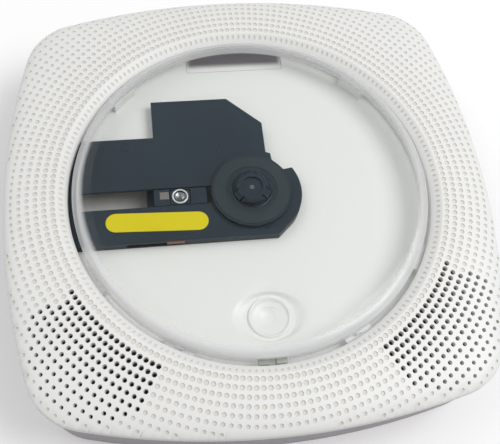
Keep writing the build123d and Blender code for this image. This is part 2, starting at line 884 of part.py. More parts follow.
def speaker_cone():
    """Paper cone with its surround and a flat dust cap."""
    edge = speaker_front - cone_ledge + cone_sheet
    upper = [
        (0, edge - cone_drop),
        (coil_radius - cone_seat, edge - cone_drop),
        (speaker_mouth - surround_width, edge),
        (speaker_mouth - cone_fit, edge),
    ]
    lower = [(radius, depth - cone_sheet) for radius, depth in reversed(upper)]
    return turned(upper + lower)


def speaker_magnet():
    """Magnet behind the basket."""
    back = speaker_front - basket_depth
    return disc(magnet_radius, back - magnet_height, back)


def rear_inset_at(depth):
    """How far the rear housing's outside lies within the body outline, at a depth."""
    return rear_inset + rear_taper * (lip_end - depth) / (lip_end - back_gap)


def rear_form(inset, low, high):
    """Tapered tub drawn in by inset, between two depths."""
    foot = body_outline(rear_inset_at(low) + inset)
    top = body_outline(rear_inset_at(high) + inset)
    return loft([Pos(0, 0, low) * foot, Pos(0, 0, high) * top], ruled=True)


def rear_housing():
    """Tub with a bevelled back edge, bracket recess, vents, bosses, sockets and button openings."""
    tub = rear_form(0, back_gap, lip_end)
    tub = chamfer(tub.faces().sort_by(Axis.Z)[0].edges(), rear_edge_bevel)
    tub -= rear_form(rear_wall, rear_inside, lip_end + 1)
    for x, y in post_points():
        tub += disc(rear_boss_radius, rear_inside - 0.5, case_post_meet, x, y)
        tub -= disc(counterbore_radius, back_gap - 1, case_post_meet - counterbore_seat, x, y)
        tub -= disc(screw_radius + 0.2, back_gap - 1, case_post_meet + 1, x, y)
    recess = RectangleRounded(bracket_width + 2 * bracket_fit, bracket_height + 2 * bracket_fit, bracket_corner)
    tub -= extrude(recess, bracket_thickness + bracket_gap)
    for x in (-hook_x, hook_x):
        half = hook_width / 2 + hook_clearance
        tub -= block(x - half, x + half, hook_stem / 2 - hook_lip - hook_clearance, hook_stem / 2,
                     back_gap - 1, rear_inside + 1)
    for x, y in pad_points():
        tub -= disc(pad_radius + 0.1, back_gap - 1, back_gap + pad_sink, x, y)
    for column in range(-(vent_count // 2), vent_count // 2 + 1):
        slot = Pos(column * vent_pitch, vent_y, back_gap) * SlotOverall(vent_length, vent_width, rotation=90)
        tub -= extrude(slot, rear_wall + 2)
    for x, y in board_screw_points():
        tub += ring(standoff_radius, screw_radius + screw_fit, rear_inside - 0.3, board_bottom, x, y)
    board_high_y = button_board_top()
    for x in (-2 * button_pitch, 0, 2 * button_pitch):
        rib = block(x - 1, x + 1, board_high_y - 4, board_high_y + 2, rear_inside - 0.3, button_depth - 3)
        rib -= block(x - 2, x + 2, board_high_y - board_thickness, board_high_y,
                     button_depth - button_board_half, button_depth)
        tub += rib
    tub -= side_openings()
    for hole in button_openings():
        tub -= hole
    return tub


def wall_reach(y, depth):
    """Half-width of the rear housing's outside at a height y and a depth."""
    return math.sqrt((side_radius - rear_inset_at(depth)) ** 2 - y**2) - side_centre


def side_openings():
    """Holes in the right-hand wall for the sockets and the power switch."""
    far = half_width + 2
    near = half_width - 8
    holes = Pos((near + far) / 2, dc_y, socket_depth) * Rot(0, 90, 0) * Cylinder(4.0, far - near)
    holes += Pos((near + far) / 2, aux_y, socket_depth) * Rot(0, 90, 0) * Cylinder(3.3, far - near)
    holes += block(near, far, usb_y - 6.9, usb_y + 6.9, socket_depth - 3.2, socket_depth + 3.2)
    holes += block(near, far, switch_y - 4.2, switch_y + 4.2, socket_depth - 1.8, socket_depth + 1.8)
    return holes


def button_places():
    """Centres of the buttons along the top, left to right."""
    return [(step - (button_count - 1) / 2) * button_pitch for step in range(button_count)]


def button_openings():
    """Slots in the top wall for the buttons."""
    holes = []
    for x in button_places():
        reach = wall_reach(x, button_depth)
        hole = Pos(x, reach, button_depth) * Box(
            button_length + 2 * button_fit, 12, button_width + 2 * button_fit)
        holes.append(hole)
    return holes


def button_flange_top(x):
    """Height of a button's flange, just inside the curved wall at its lower corner."""
    flange_end = abs(x) + button_length / 2 + button_flange
    flange_back = button_depth - button_width / 2 - button_flange
    return wall_reach(flange_end, flange_back) - rear_wall - 0.4


def push_button(x):
    """Key cap with a flange behind the wall and a plunger over its switch."""
    top = wall_reach(x, button_depth) + button_proud
    inside = button_flange_top(x)
    half = button_length / 2
    thick = button_width / 2
    cap = block(x - half, x + half, inside, top, button_depth - thick, button_depth + thick)
    cap = fillet(cap.edges().filter_by(Axis.Y), button_corner)
    cap = chamfer(cap.faces().sort_by(Axis.Y)[-1].edges(), button_edge)
    cap += block(x - half - button_flange, x + half + button_flange, inside - 1, inside,
                 button_depth - thick - button_flange, button_depth + thick + button_flange)
    plunger_top = inside - 1
    return cap + block(x - 1, x + 1, plunger_top - plunger_length, plunger_top,
                       button_depth - 1, button_depth + 1)


def switch_stem_end(x):
    """Height of a tact switch's stem below its button."""
    return button_flange_top(x) - 1 - plunger_length - button_travel - stem_gap


def tact_switches():
    """One switch under each button, on the button board."""
    switches = []
    for x in button_places():
        top = switch_stem_end(x)
        body = block(x - 3, x + 3, button_board_top(), top - 1, button_depth - 3, button_depth + 3)
        switches.append(body + block(x - 1.5, x + 1.5, top - 1, top, button_depth - 1.5, button_depth + 1.5))
    return Compound(switches)


def button_board_top():
    """Height of the button board's upper face."""
    return switch_stem_end(button_places()[0]) - 4.0


def button_board():
    """Board across the top, behind the buttons."""
    top = button_board_top()
    end = button_places()[-1] + button_board_end
    return block(-end, end, top - board_thickness, top,
                 button_depth - button_board_half, button_depth + button_board_half)


def board_screw_points():
    """Corners of the main board."""
    return [(board_left + 5, board_low + 5), (board_left + 5, board_high - 5),
            (board_right - 12, board_low + 5), (board_right - 12, board_high - 5)]


def main_board():
    """Circuit board on the rear housing's standoffs."""
    board = block(board_left, board_right, board_low, board_high, board_bottom, board_top)
    for x, y in board_screw_points():
        board -= disc(screw_radius + 0.2, board_bottom - 1, board_top + 1, x, y)
    return board


def board_parts():
    """Chips, capacitors and plugs on the main board."""
    parts = [
        block(0, 12, -8, 4, board_top, board_top + 1.6),
        block(22, 30, -20, -8, board_top, board_top + 1.4),
        block(38, 56, 10, 20, board_top, board_top + 2.0),
        block(-18, -14, -20, 8, board_top, board_top + 4.5),
    ]
    for x, y in ((60, -28), (60, -16), (48, -30), (20, 26)):
        parts.append(disc(3.2, board_top, board_top + 7.0, x, y))
    return Compound(parts)


def dc_jack():
    """Barrel socket with its centre pin."""
    nose = wall_reach(dc_y, socket_depth) - 0.4
    body = block(nose - 14, nose - 4.5, dc_y - 4.5, dc_y + 4.5, board_top, socket_depth + 4.2)
    body += Pos(nose - 3, dc_y, socket_depth) * Rot(0, 90, 0) * Cylinder(3.8, 6.0)
    body -= Pos(nose - 4.5, dc_y, socket_depth) * Rot(0, 90, 0) * Cylinder(2.85, 9.2)
    return body + Pos(nose - 6, dc_y, socket_depth) * Rot(0, 90, 0) * Cylinder(1.0, dc_pin_length)


def aux_jack():
    """3.5 mm socket."""
    nose = wall_reach(aux_y, socket_depth) - 0.2
    body = block(nose - 14, nose - 3.4, aux_y - 3.2, aux_y + 3.2, board_top, socket_depth + 3.0)
    body += Pos(nose - 2, aux_y, socket_depth) * Rot(0, 90, 0) * Cylinder(3.1, 4.0)
    return body - Pos(nose - 6, aux_y, socket_depth) * Rot(0, 90, 0) * Cylinder(aux_bore, 12.2)


def usb_port():
    """Type A socket: metal shell on its foot, and its tongue."""
    nose = wall_reach(usb_y, socket_depth) - 0.3
    shell = block(nose - 14, nose, usb_y - 6.6, usb_y + 6.6, socket_depth - 2.9, socket_depth + 2.9)
    shell -= block(nose - 13, nose + 1, usb_y - 6.2, usb_y + 6.2, socket_depth - 2.5, socket_depth + 2.5)
    shell += block(nose - 13, nose - 6, usb_y - 6.6, usb_y + 6.6, board_top, socket_depth - 2.9)
    return shell + block(nose - 13.5, nose - 1, usb_y - 5.5, usb_y + 5.5,
                         socket_depth + 0.3, socket_depth + 2.1)


def power_switch_body():
    """Slide switch behind the right-hand wall."""
    reach = wall_reach(switch_y, socket_depth) - rear_wall - 1.6
    return block(reach - 5, reach, switch_y - 5, switch_y + 5, board_top, socket_depth + 2.6)


def power_switch_knob():
    """Ribbed slider, stored in its off position."""
    wall = wall_reach(switch_y, socket_depth)
    reach = wall - rear_wall - 1.6
    centre = switch_y - switch_travel / 2
    knob = block(reach + 0.3, wall + 1.0, centre - 2.2, centre + 2.2, socket_depth - 1.4, socket_depth + 1.4)
    for step in (-1, 0, 1):
        knob -= block(wall + 0.5, wall + 2, centre + step * 1.2 - 0.2, centre + step * 1.2 + 0.2,
                      socket_depth - 2, socket_depth + 2)
    return knob


def lid_sensor():
    """Sensor on the well's underside that feels the cover."""
    x, y = from_bottom(well_inner - 6, lug_angle)
    return Pos(x, y, floor_under - 1) * Box(4, 3, 2)


def wall_bracket():
    """Steel plate for the wall, with two hooks that carry the player."""
    plate = extrude(RectangleRounded(bracket_width, bracket_height, bracket_corner), bracket_thickness)
    for x in (-bracket_hole_x / 2, bracket_hole_x / 2):
        for y in (-bracket_hole_y / 2, bracket_hole_y / 2):
            plate -= disc(bracket_hole_radius, -1, bracket_thickness + 1, x, y)
    low = -hook_stem / 2
    lip_back = rear_inside + hook_clearance
    for x in (-hook_x, hook_x):
        left = x - hook_width / 2
        right = x + hook_width / 2
        plate += block(left, right, low, hook_stem / 2, 0, lip_back + hook_sheet)
        plate += block(left, right, low, low + hook_lip, lip_back, lip_back + hook_sheet)
    return plate


def pad_points():
    """Corners of the back, where the pads sit."""
    reach = half_width - pad_inset
    return [(x, y) for x in (-reach, reach) for y in (-reach, reach)]


def wall_pads():
    """Soft pads on the back."""
    return Compound([disc(pad_radius, 0, back_gap + pad_sink, x, y) for x, y in pad_points()])


def screws(points, seat, tip, radius, cap_radius, cap_height):
    """Screws from their seat to their tip, with the head on the other side of the seat."""
    back = seat - math.copysign(cap_height, tip - seat)
    made = []
    for x, y in points:
        head = disc(cap_radius, min(seat, back), max(seat, back), x, y)
        made.append(head + disc(radius, min(seat, tip), max(seat, tip), x, y))
    return Compound(made)


def stand_up(shape):
    """Turn a piece from lying on its back to hanging on the wall."""
    return Rot(90, 0, 0) * shape


def all_pieces():
    """Every piece of the player by its name."""
    pieces = {
        "front_housing": front_housing(),
        "disc_well": disc_well(),
        "rear_housing": rear_housing(),
        "wall_bracket": wall_bracket(),
        "wall_pads": wall_pads(),
        "case_screws": screws(post_points(), case_post_meet - counterbore_seat,
                              case_post_meet + case_screw_grip, screw_radius, head_radius, head_height),
        "display_window": display_window(),
        "display_module": display_module(),
        "dust_cover": dust_cover(),
        "deck_cover": deck_cover(),
        "deck_frame": deck_frame(),
        "deck_cover_screws": screws(deck_tab_points, deck_top - small_head_height, floor_under,
                                    small_screw_radius, small_head_radius, small_head_height),
        "deck_screws": screws(damper_points, frame_bottom, floor_under - 1,
                              screw_radius, head_radius, head_height),
        "deck_dampers": Compound([ring(damper_radius, screw_radius + 0.3, frame_top, boss_end, x, y)
                                  for x, y in damper_points]),
        "guide_rods": guide_rods(),
        "gear_post": gear_post(),
        "spindle_motor": spindle_motor(),
        "sled_motor": sled_motor(),
        "handling_label": handling_label(),
        "flex_cable": flex_cable(),
        "turntable": turntable(),
        "turntable_mat": turntable_mat(),
        "spindle_shaft": spindle_shaft(),
        "pickup_carriage": pickup_carriage(),
        "pickup_head": pickup_head(),
        "pickup_rack": pickup_rack(),
        "lens_holder": lens_holder(),
        "pickup_lens": pickup_lens(),
        "drive_gear": drive_gear(),
        "motor_pinion": motor_pinion(),
        "main_board": main_board(),
        "board_parts": board_parts(),
        "board_screws": screws(board_screw_points(), board_top, rear_inside + 1,
                               screw_radius, head_radius, head_height),
        "dc_jack": dc_jack(),
        "aux_jack": aux_jack(),
        "usb_port": usb_port(),
        "power_switch_body": power_switch_body(),
        "power_switch_knob": power_switch_knob(),
        "button_board": button_board(),
        "tact_switches": tact_switches(),
        "lid_sensor": lid_sensor(),
        "speaker_frames": speaker_pair(speaker_frame()),
        "speaker_cones": speaker_pair(speaker_cone()),
        "speaker_magnets": speaker_pair(speaker_magnet()),
    }
    names = ("mode", "previous", "next", "play", "volume_down", "volume_up")
    for name, x in zip(names, button_places()):
        pieces[f"{name}_button"] = push_button(x)
    return pieces


if __name__ == "__main__":
    os.makedirs("parts", exist_ok=True)
    for piece_name, piece in all_pieces().items():
        export_step(stand_up(piece), f"parts/{piece_name}.step")
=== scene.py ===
"""Looks of the wall mounted disc player, in metres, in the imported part's frame: front to -Y, up to +Z."""
import json
import math
import bpy
from mathutils import Matrix, Vector


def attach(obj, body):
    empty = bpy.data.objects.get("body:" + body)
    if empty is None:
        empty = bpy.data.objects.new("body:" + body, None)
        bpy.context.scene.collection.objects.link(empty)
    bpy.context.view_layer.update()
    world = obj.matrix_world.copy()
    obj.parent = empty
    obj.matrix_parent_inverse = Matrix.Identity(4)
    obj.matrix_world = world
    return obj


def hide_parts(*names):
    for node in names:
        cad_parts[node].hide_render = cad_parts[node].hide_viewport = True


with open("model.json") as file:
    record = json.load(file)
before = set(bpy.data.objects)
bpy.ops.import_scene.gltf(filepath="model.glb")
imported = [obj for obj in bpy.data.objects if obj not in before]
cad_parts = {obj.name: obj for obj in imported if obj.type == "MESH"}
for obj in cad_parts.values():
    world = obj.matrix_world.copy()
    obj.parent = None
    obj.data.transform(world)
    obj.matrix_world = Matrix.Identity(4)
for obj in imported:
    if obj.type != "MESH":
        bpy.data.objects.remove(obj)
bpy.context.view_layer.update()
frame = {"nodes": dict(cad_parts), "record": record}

MM = 0.001
nodes = frame["nodes"]
body_of = {node: body for body, owned in frame["record"]["behaviour"]["bodies"].items() for node in owned}
slot_of = {part["node"]: part["material_slot"] for part in frame["record"]["subparts"]}

# Meshing: merging distance in metres, degrees that count as flat and as sharp, steps of a rounded edge,
# and how much the larger faces weigh in the normals
MERGE_GAP = 0.000002
FLAT_ANGLE = 0.3
SHARP_ANGLE = 40
EDGE_SEGMENTS = 2
MOST_WEIGHT = 100

# Driving sizes of the front shell, in millimetres from the wall or from the centre
HALF_WIDTH = 99.97
SIDE_RADIUS = 290.0
CORNER_RADIUS = 25.0
CREST = 42.0
DROP = 6.5
CROWN_RADIUS = 76.8
CREST_RADIUS = 78.3
MOUTH_RADIUS = 74.2
MOUTH_TOP = 39.0
MOUTH_FOOT = 37.0
LIP_END = 33.5
LIP_EDGE = 0.3
LIP_WALL = 2.0

# Rounding of the mouth's and the crest's edges: how far a loop lies from the sharp corner
MOUTH_UNDERSIDE = 1.4
MOUTH_EDGE_DROP = 0.15
MOUTH_EDGE_OUT = 0.2
MOUTH_EDGE_RISE = 0.1
CREST_EDGE_IN = 0.25
CREST_EDGE_DROP = 0.17
CREST_EDGE_OUT = 0.15

# Rings of dimples: one on the slope to the mouth, the others on the crown
RAYS = 200
SLOPE_RING = 76.6
SLOPE_DIMPLE = 0.56
SLOPE_HALF = 0.85
SLOPE_STRETCH = 1.9
FIRST_RING = 80.0
RING_PITCH = 3.345
RING_COUNT = 12
OUTLINE_MARGIN = 1.2
HOLE_MARGIN = 3.0
RIM_LOOPS = 5
DIMPLE_WIDTH = 2.33
DIMPLE_TAPER = 0.07
OUTER_DIMPLE = 0.9
SLOPE_SINK = 0.6

# Most that half a cell takes of the ring pitch, of half the gap between rays and of the room to the outline
CELL_OF_PITCH = 0.47
CELL_OF_GAP = 0.96
CELL_OF_ROOM = 0.75

# Insets that divide a cell, the steps that they leave, and the radius share and depth of each step
CELL_INSETS = (0.1, 0.1, 0.12)
EDGE_STEP = 0.8
WALL_STEP = 0.6
FLOOR_STEP = 0.36
CELL_STEPS = (1.0, EDGE_STEP, WALL_STEP, FLOOR_STEP)
HOLE_TAPER = 0.024
DIMPLE_FORM = {EDGE_STEP: (1.0, 0.0), WALL_STEP: (0.94, 0.16), FLOOR_STEP: (0.80, 0.43), 0.0: (0.0, 0.46)}
HOLE_FORM = {EDGE_STEP: (1.05, 0.0), WALL_STEP: (0.94, 0.2), FLOOR_STEP: (0.90, 2.0), 0.0: (0.0, 2.0)}

# Distances on the flat sheet that count as a cell's corner and as a cell's middle
SHEET_CORNER = 0.02
SHEET_MIDDLE = 0.01

# Speaker grilles: their first ring, the rays from straight down at which a ring starts and ends where it
# differs from the rest, and the ring below which they are a ray wider
GRILLE_RING = 2
GRILLE_START = 17
GRILLE_STARTS = {8: 18, 9: 19, 10: 20, 11: 22}
GRILLE_ENDS = {3: 33, 4: 33, 11: 27}
GRILLE_WIDER = 9

# Clear cover: radius, wall, depths of its rim and front, elliptic shoulder, notch and two lugs. NOTCH_SPARE is
# how far the notch's tool runs past the cover, downwards and backwards
COVER_RADIUS = 72.3
COVER_WALL = 1.8
COVER_SEAT = 37.0
COVER_FRONT = 45.0
SHOULDER_WIDTH = 8.5
SHOULDER_DROP = 3.4
SHOULDER_STEPS = 14
RIM_EDGE = 0.3
COVER_TURNS = 288
NOTCH_HALF = 6.2
NOTCH_TOP = 40.6
NOTCH_RISE = 4.8
NOTCH_EDGE = 0.5
NOTCH_SPARE = (1, 2)
LUG_ANGLE = 28.0
LUG_HALF = 1.5
LUG_REACH = 0.9
LUG_HEIGHT = 1.5
LUG_EDGE = 0.25

# Painted glare on the cover's rim, a milky grey that stands for the reflections and refraction in its thick
# side wall: radii where it begins and is full, and how much it hides what is behind
RIM_GLARE_START = 67.2
RIM_GLARE_END = 70.0
RIM_GLARE = 0.5

# Clear pieces: most gloss, how late haze comes at a slant, the cover's tint and gloss, refractive indexes
MOST_GLOSS = 0.15
SLANT_POWER = 4.0
CLEAR_TINT = (0.995, 0.998, 0.996, 1)
SHINE_ROUGHNESS = 0.1
COVER_INDEX = 1.45
LENS_INDEX = 1.49

# Settings of the finishes: noise detail, ends of the tint ramp, grain height in metres, least roughness,
# and the reflection of the flat black and yellow
PATCH_DETAIL = 3.0
GRAIN_DETAIL = 4.0
TINT_ENDS = (0.3, 0.7)
GRAIN_HEIGHT = 0.0001
LEAST_ROUGHNESS = 0.02
FLAT_GLOSS = 0.3

# Display window in the well's floor and wall, and the soft border of its tint
WINDOW_LOW = 65.6
WINDOW_HIGH = 76.5
WINDOW_HALF = 22.6
WINDOW_FADE = 3.4

# Finger recess in the well's floor: a round ring inside a dish that is wider than high, and its liner
FLOOR = 32.5
RECESS_PLACE = (1.6, -52.8)
RING_FOOT = 8.9
DISH_EDGE = 12.2
DISH_STRETCH = (1.25, 0.85)
COLLAR_STRETCH = (1.08, 1.0)
RECESS_CUT = (15.4, 14.1)
LINER_EDGE = 15.5
LINER_FOOT = -3.0
LINER_STEPS = 96

# Pickup lens and the deck round it
LENS_X = -29.3
HEAD_TOP = 36.7
RING_TOP = HEAD_TOP + 0.25
DECK_TOP = 37.0
STUD_PLACE = (-12.1, 20.2)
GLASS_RADIUS = 2.35
GLASS_CROWN = 1.15
GLASS_FOOT = 0.45
GLASS_STEPS = 12

# Lathe sections as (radius, height): over the well's floor, the lens ring's top, the pickup head or the deck,
# and over the wall for the hub ring
CUT_SECTION = ((0.0, -1.6), (1.0, -1.6), (1.0, 1.0), (0.0, 1.0))
RECESS_SECTION = (
    (LINER_EDGE, -0.5), (LINER_EDGE, 0.02), (DISH_EDGE, 0.02), (11.7, -0.1), (11.0, -0.6), (10.2, -1.3),
    (9.4, -1.8), (RING_FOOT, -1.85), (8.6, -1.55), (8.35, -1.0), (8.1, -0.78), (7.8, -0.8), (7.45, -1.15),
    (6.9, -1.65), (6.1, -1.95), (5.0, -2.08), (4.6, -2.2), (4.3, -2.5), (0.0, -2.56), (0.0, LINER_FOOT),
    (RING_FOOT, LINER_FOOT), (LINER_EDGE, -0.5),
)
LENS_RING_SECTION = (
    (2.62, -0.2), (2.62, 0.12), (2.76, 0.27), (3.0, 0.32), (3.24, 0.25), (3.36, 0.08), (3.36, -0.1),
    (3.1, -0.2), (2.62, -0.2),
)
LENS_SEAT_SECTION = ((0.0, -0.99), (2.55, -0.99), (2.55, -0.86), (1.2, -0.82), (1.05, -0.9), (0.0, -0.9))
GLASS_SECTION = ((0.0, -0.78), (2.5, -0.78), (2.52, -0.5))
STUD_SECTION = ((0.0, 0.25), (0.5, 0.22), (0.85, 0.05), (0.95, -0.2), (0.0, -0.2))
HUB_RING_SECTION = (
    (7.9, 38.9), (7.9, 39.12), (8.05, 39.17), (8.3, 39.17), (8.5, 39.08), (8.6, 38.9), (7.9, 38.9),
)

# Blocks as left, right, low, high, back, front and the rounding of their edges
CATCH_BLOCK = (-5.8, 5.4, -73.6, -70.9, 36.6, 38.1, 0.35)
CATCH_STEP = (-1.8, 1.2, -75.0, -70.0, 37.5, 39.0, 0.2)
SENSOR_BLOCK = (-37.5, -33.8, -0.9, 2.4, HEAD_TOP - 0.1, HEAD_TOP + 0.18, 0.1)
COPPER_BLOCK = (-36.0, -29.0, -20.0, -19.7, 34.4, 36.6, 0.08)

# Stage, world and lamps (name, place, size and watts), in metres
STAGE_SIZE = 4.0
STAGE_GAP = 0.0006
STAGE_WHITE = (0.86, 0.86, 0.865, 1)
STAGE_GLOW = (0.14, 0.14, 0.14, 1)
WORLD_LIGHT = 0.49
LAMPS = (
    ("key_lamp", (0.8, -1.15, -0.1), 0.8, 10.6),
    ("fill_lamp", (-0.9, -1.2, 0.4), 1.4, 5.2),
    ("back_lamp", (0.3, 1.2, 0.6), 1.4, 12.0),
)

# Camera fitted to the photograph: its place in metres, its directions and its lens in millimetres
CAMERA_PLACE = (-0.040203, -0.335191, -0.158970)
CAMERA_RIGHT = (0.991142, -0.072277, -0.111418)
CAMERA_UP = (0.068099, -0.443674, 0.893597)
CAMERA_BACK = (-0.114020, -0.893269, -0.434822)
CAMERA_LENS = 59.52
CAMERA_SENSOR = 36.0
CAMERA_NEAR = 0.01


# ---------------------------------------------------------------- selecting and editing

def deselect():
    """Leave nothing selected, because an operator acts on all that is."""
    if bpy.context.mode != "OBJECT":
        bpy.ops.object.mode_set(mode="OBJECT")
    bpy.ops.object.select_all(action="DESELECT")


def pick(piece):
    """Select one piece alone and make it active."""
    deselect()
    piece.select_set(True)
    bpy.context.view_layer.objects.active = piece


def named(name):
    """Name the primitive that was just added."""
    piece = bpy.context.object
    piece.name = name
    piece.data.name = name
    return piece


def select_faces(piece, wanted):
    """Select the faces for which wanted(face) holds, and stay in edit mode."""
    bpy.ops.object.mode_set(mode="EDIT")
    bpy.ops.mesh.select_mode(type="FACE")
    bpy.ops.mesh.select_all(action="DESELECT")
    bpy.ops.object.mode_set(mode="OBJECT")
    for face in piece.data.polygons:
        face.select = wanted(face)
    bpy.ops.object.mode_set(mode="EDIT")


def settle(piece, angle=30.0):
    """Apply the piece's place, merge doubles, turn its normals outwards and shade it smooth."""
    pick(piece)
    bpy.ops.object.transform_apply(location=True, rotation=True, scale=True)
    bpy.ops.object.mode_set(mode="EDIT")
    bpy.ops.mesh.select_all(action="SELECT")
    bpy.ops.mesh.remove_doubles(threshold=MERGE_GAP)
    bpy.ops.mesh.normals_make_consistent(inside=False)
    bpy.ops.object.mode_set(mode="OBJECT")
    bpy.ops.object.shade_smooth_by_angle(angle=math.radians(angle))
    return piece


# ---------------------------------------------------------------- finishes

def finish(name, colour, roughness, metallic=0.0, grain=900.0, bump=0.0, mottle=0.03, patch=40.0,
           rough_swing=0.04):
    """Moulded, painted or metal finish with a fine grain, faint colour patches and uneven gloss."""
    material = bpy.data.materials.new(name)
    material.use_nodes = True
    tree = material.node_tree
    shader = tree.nodes["Principled BSDF"]
    shader.inputs["Metallic"].default_value = metallic
    place = tree.nodes.new("ShaderNodeTexCoord")
    patches = tree.nodes.new("ShaderNodeTexNoise")
    patches.inputs["Scale"].default_value = patch
    patches.inputs["Detail"].default_value = PATCH_DETAIL
    tree.links.new(place.outputs["Object"], patches.inputs["Vector"])
    tint = tree.nodes.new("ShaderNodeValToRGB")
    low = [max(0.0, channel * (1 - mottle)) for channel in colour]
    high = [min(1.0, channel * (1 + mottle)) for channel in colour]
    for stop, position, shade in zip(tint.color_ramp.elements, TINT_ENDS, (low, high)):
        stop.position = position
        stop.color = (*shade, 1.0)
    tree.links.new(patches.outputs["Fac"], tint.inputs["Fac"])
    tree.links.new(tint.outputs["Color"], shader.inputs["Base Color"])
    grains = tree.nodes.new("ShaderNodeTexNoise")
    grains.inputs["Scale"].default_value = grain
    grains.inputs["Detail"].default_value = GRAIN_DETAIL
    tree.links.new(place.outputs["Object"], grains.inputs["Vector"])
    gloss = tree.nodes.new("ShaderNodeMapRange")
    gloss.inputs["To Min"].default_value = max(LEAST_ROUGHNESS, roughness - rough_swing)
    gloss.inputs["To Max"].default_value = min(1.0, roughness + rough_swing)
    tree.links.new(grains.outputs["Fac"], gloss.inputs["Value"])
    tree.links.new(gloss.outputs["Result"], shader.inputs["Roughness"])
    if bump:
        relief = tree.nodes.new("ShaderNodeBump")
        relief.inputs["Strength"].default_value = bump
        relief.inputs["Distance"].default_value = GRAIN_HEIGHT
        tree.links.new(grains.outputs["Fac"], relief.inputs["Height"])
        tree.links.new(relief.outputs["Normal"], shader.inputs["Normal"])
    return material


def join_shaders(tree, factor, first, second):
    """Mix two shaders by a factor output and give the mixed shader's output."""
    mixed = tree.nodes.new("ShaderNodeMixShader")
    tree.links.new(factor, mixed.inputs["Fac"])
    tree.links.new(first, mixed.inputs[1])
    tree.links.new(second, mixed.inputs[2])
    return mixed.outputs["Shader"]


def scaled(tree, operation, source, value):
    """Output of a Math node that works on a source and a plain value."""
    sums = tree.nodes.new("ShaderNodeMath")
    sums.operation = operation
    sums.inputs[1].default_value = value
    tree.links.new(source, sums.inputs[0])
    return sums.outputs["Value"]


def combined(tree, operation, first, second):
    """Output of a Math node that works on two sources."""
    sums = tree.nodes.new("ShaderNodeMath")
    sums.operation = operation
    tree.links.new(first, sums.inputs[0])
    tree.links.new(second, sums.inputs[1])
    return sums.outputs["Value"]


def ranged(tree, source, begin, end):
    """Output that goes from 0 to 1 while the source goes from begin to end, in millimetres."""
    span = tree.nodes.new("ShaderNodeMapRange")
    span.interpolation_type = "SMOOTHSTEP"
    span.inputs["From Min"].default_value = begin * MM
    span.inputs["From Max"].default_value = end * MM
    tree.links.new(source, span.inputs["Value"])
    return span.outputs["Result"]


def front_place(tree):
    """Outputs with the place across, the place up, and the distance from the player's axis."""
    place = tree.nodes.new("ShaderNodeTexCoord")
    flat = tree.nodes.new("ShaderNodeVectorMath")
    flat.operation = "MULTIPLY"
    flat.inputs[1].default_value = (1.0, 0.0, 1.0)
    tree.links.new(place.outputs["Object"], flat.inputs[0])
    parts = tree.nodes.new("ShaderNodeSeparateXYZ")
    tree.links.new(flat.outputs["Vector"], parts.inputs["Vector"])
    reach = tree.nodes.new("ShaderNodeVectorMath")
    reach.operation = "LENGTH"
    tree.links.new(flat.outputs["Vector"], reach.inputs[0])
    return parts.outputs["X"], parts.outputs["Z"], reach.outputs["Value"]


def film_finish(name, colour, haze, gloss):
    """Thin clear plastic: see-through from the front, with painted glare in milky grey at its rim, and a clear
    gloss.
    """
    material = finish(name, colour, 0.3, grain=260.0, mottle=0.02)
    tree = material.node_tree
    through = tree.nodes.new("ShaderNodeBsdfTransparent")
    through.inputs["Color"].default_value = CLEAR_TINT
    edge = tree.nodes.new("ShaderNodeLayerWeight")
    slanted = scaled(tree, "MULTIPLY", scaled(tree, "POWER", edge.outputs["Facing"], SLANT_POWER), haze)
    # Milky grey by radius at the rim is painted glare of the thick side wall
    rim = scaled(tree, "MULTIPLY", ranged(tree, front_place(tree)[2], RIM_GLARE_START, RIM_GLARE_END), RIM_GLARE)
    milky = combined(tree, "MAXIMUM", slanted, rim)
    body = join_shaders(tree, milky, through.outputs["BSDF"], tree.nodes["Principled BSDF"].outputs["BSDF"])
    shine = tree.nodes.new("ShaderNodeBsdfPrincipled")
    shine.inputs["Metallic"].default_value = 1.0
    shine.inputs["Base Color"].default_value = (1.0, 1.0, 1.0, 1)
    shine.inputs["Roughness"].default_value = SHINE_ROUGHNESS
    fresnel = tree.nodes.new("ShaderNodeFresnel")
    fresnel.inputs["IOR"].default_value = COVER_INDEX
    share = scaled(tree, "MINIMUM", scaled(tree, "MULTIPLY", fresnel.outputs["Fac"], gloss), MOST_GLOSS)
    surface = join_shaders(tree, share, body, shine.outputs["BSDF"])
    tree.links.new(surface, tree.nodes["Material Output"].inputs["Surface"])
    return material


def glass_finish(name, colour, roughness):
    """Solid glass with faint wear in its gloss, which lets the light of lamps through."""
    material = finish(name, colour, roughness, grain=260.0, mottle=0.01, rough_swing=0.01)
    tree = material.node_tree
    shader = tree.nodes["Principled BSDF"]
    shader.inputs["Transmission Weight"].default_value = 1.0
    shader.inputs["IOR"].default_value = LENS_INDEX
    path = tree.nodes.new("ShaderNodeLightPath")
    through = tree.nodes.new("ShaderNodeBsdfTransparent")
    shadow = path.outputs["Is Shadow Ray"]
    surface = join_shaders(tree, shadow, shader.outputs["BSDF"], through.outputs["BSDF"])
    tree.links.new(surface, tree.nodes["Material Output"].inputs["Surface"])
    return material


def window_finish(name, colour, border):
    """Dark tint behind the display window that fades into the well's white at its borders."""
    material = finish(name, colour, 0.3, grain=1800.0, mottle=0.03)
    tree = material.node_tree
    across, up, reach = front_place(tree)
    aside = scaled(tree, "ABSOLUTE", across, 0.0)
    fade = ranged(tree, up, WINDOW_LOW, WINDOW_LOW + WINDOW_FADE)
    for source, edge in ((reach, WINDOW_HIGH), (aside, WINDOW_HALF)):
        fade = combined(tree, "MULTIPLY", fade, ranged(tree, source, edge, edge - WINDOW_FADE))
    shader = tree.nodes["Principled BSDF"]
    blend = tree.nodes.new("ShaderNodeMixRGB")
    blend.inputs["Color1"].default_value = border
    tree.links.new(fade, blend.inputs["Fac"])
    tree.links.new(shader.inputs["Base Color"].links[0].from_socket, blend.inputs["Color2"])
    tree.links.new(blend.outputs["Color"], shader.inputs["Base Color"])
    return material


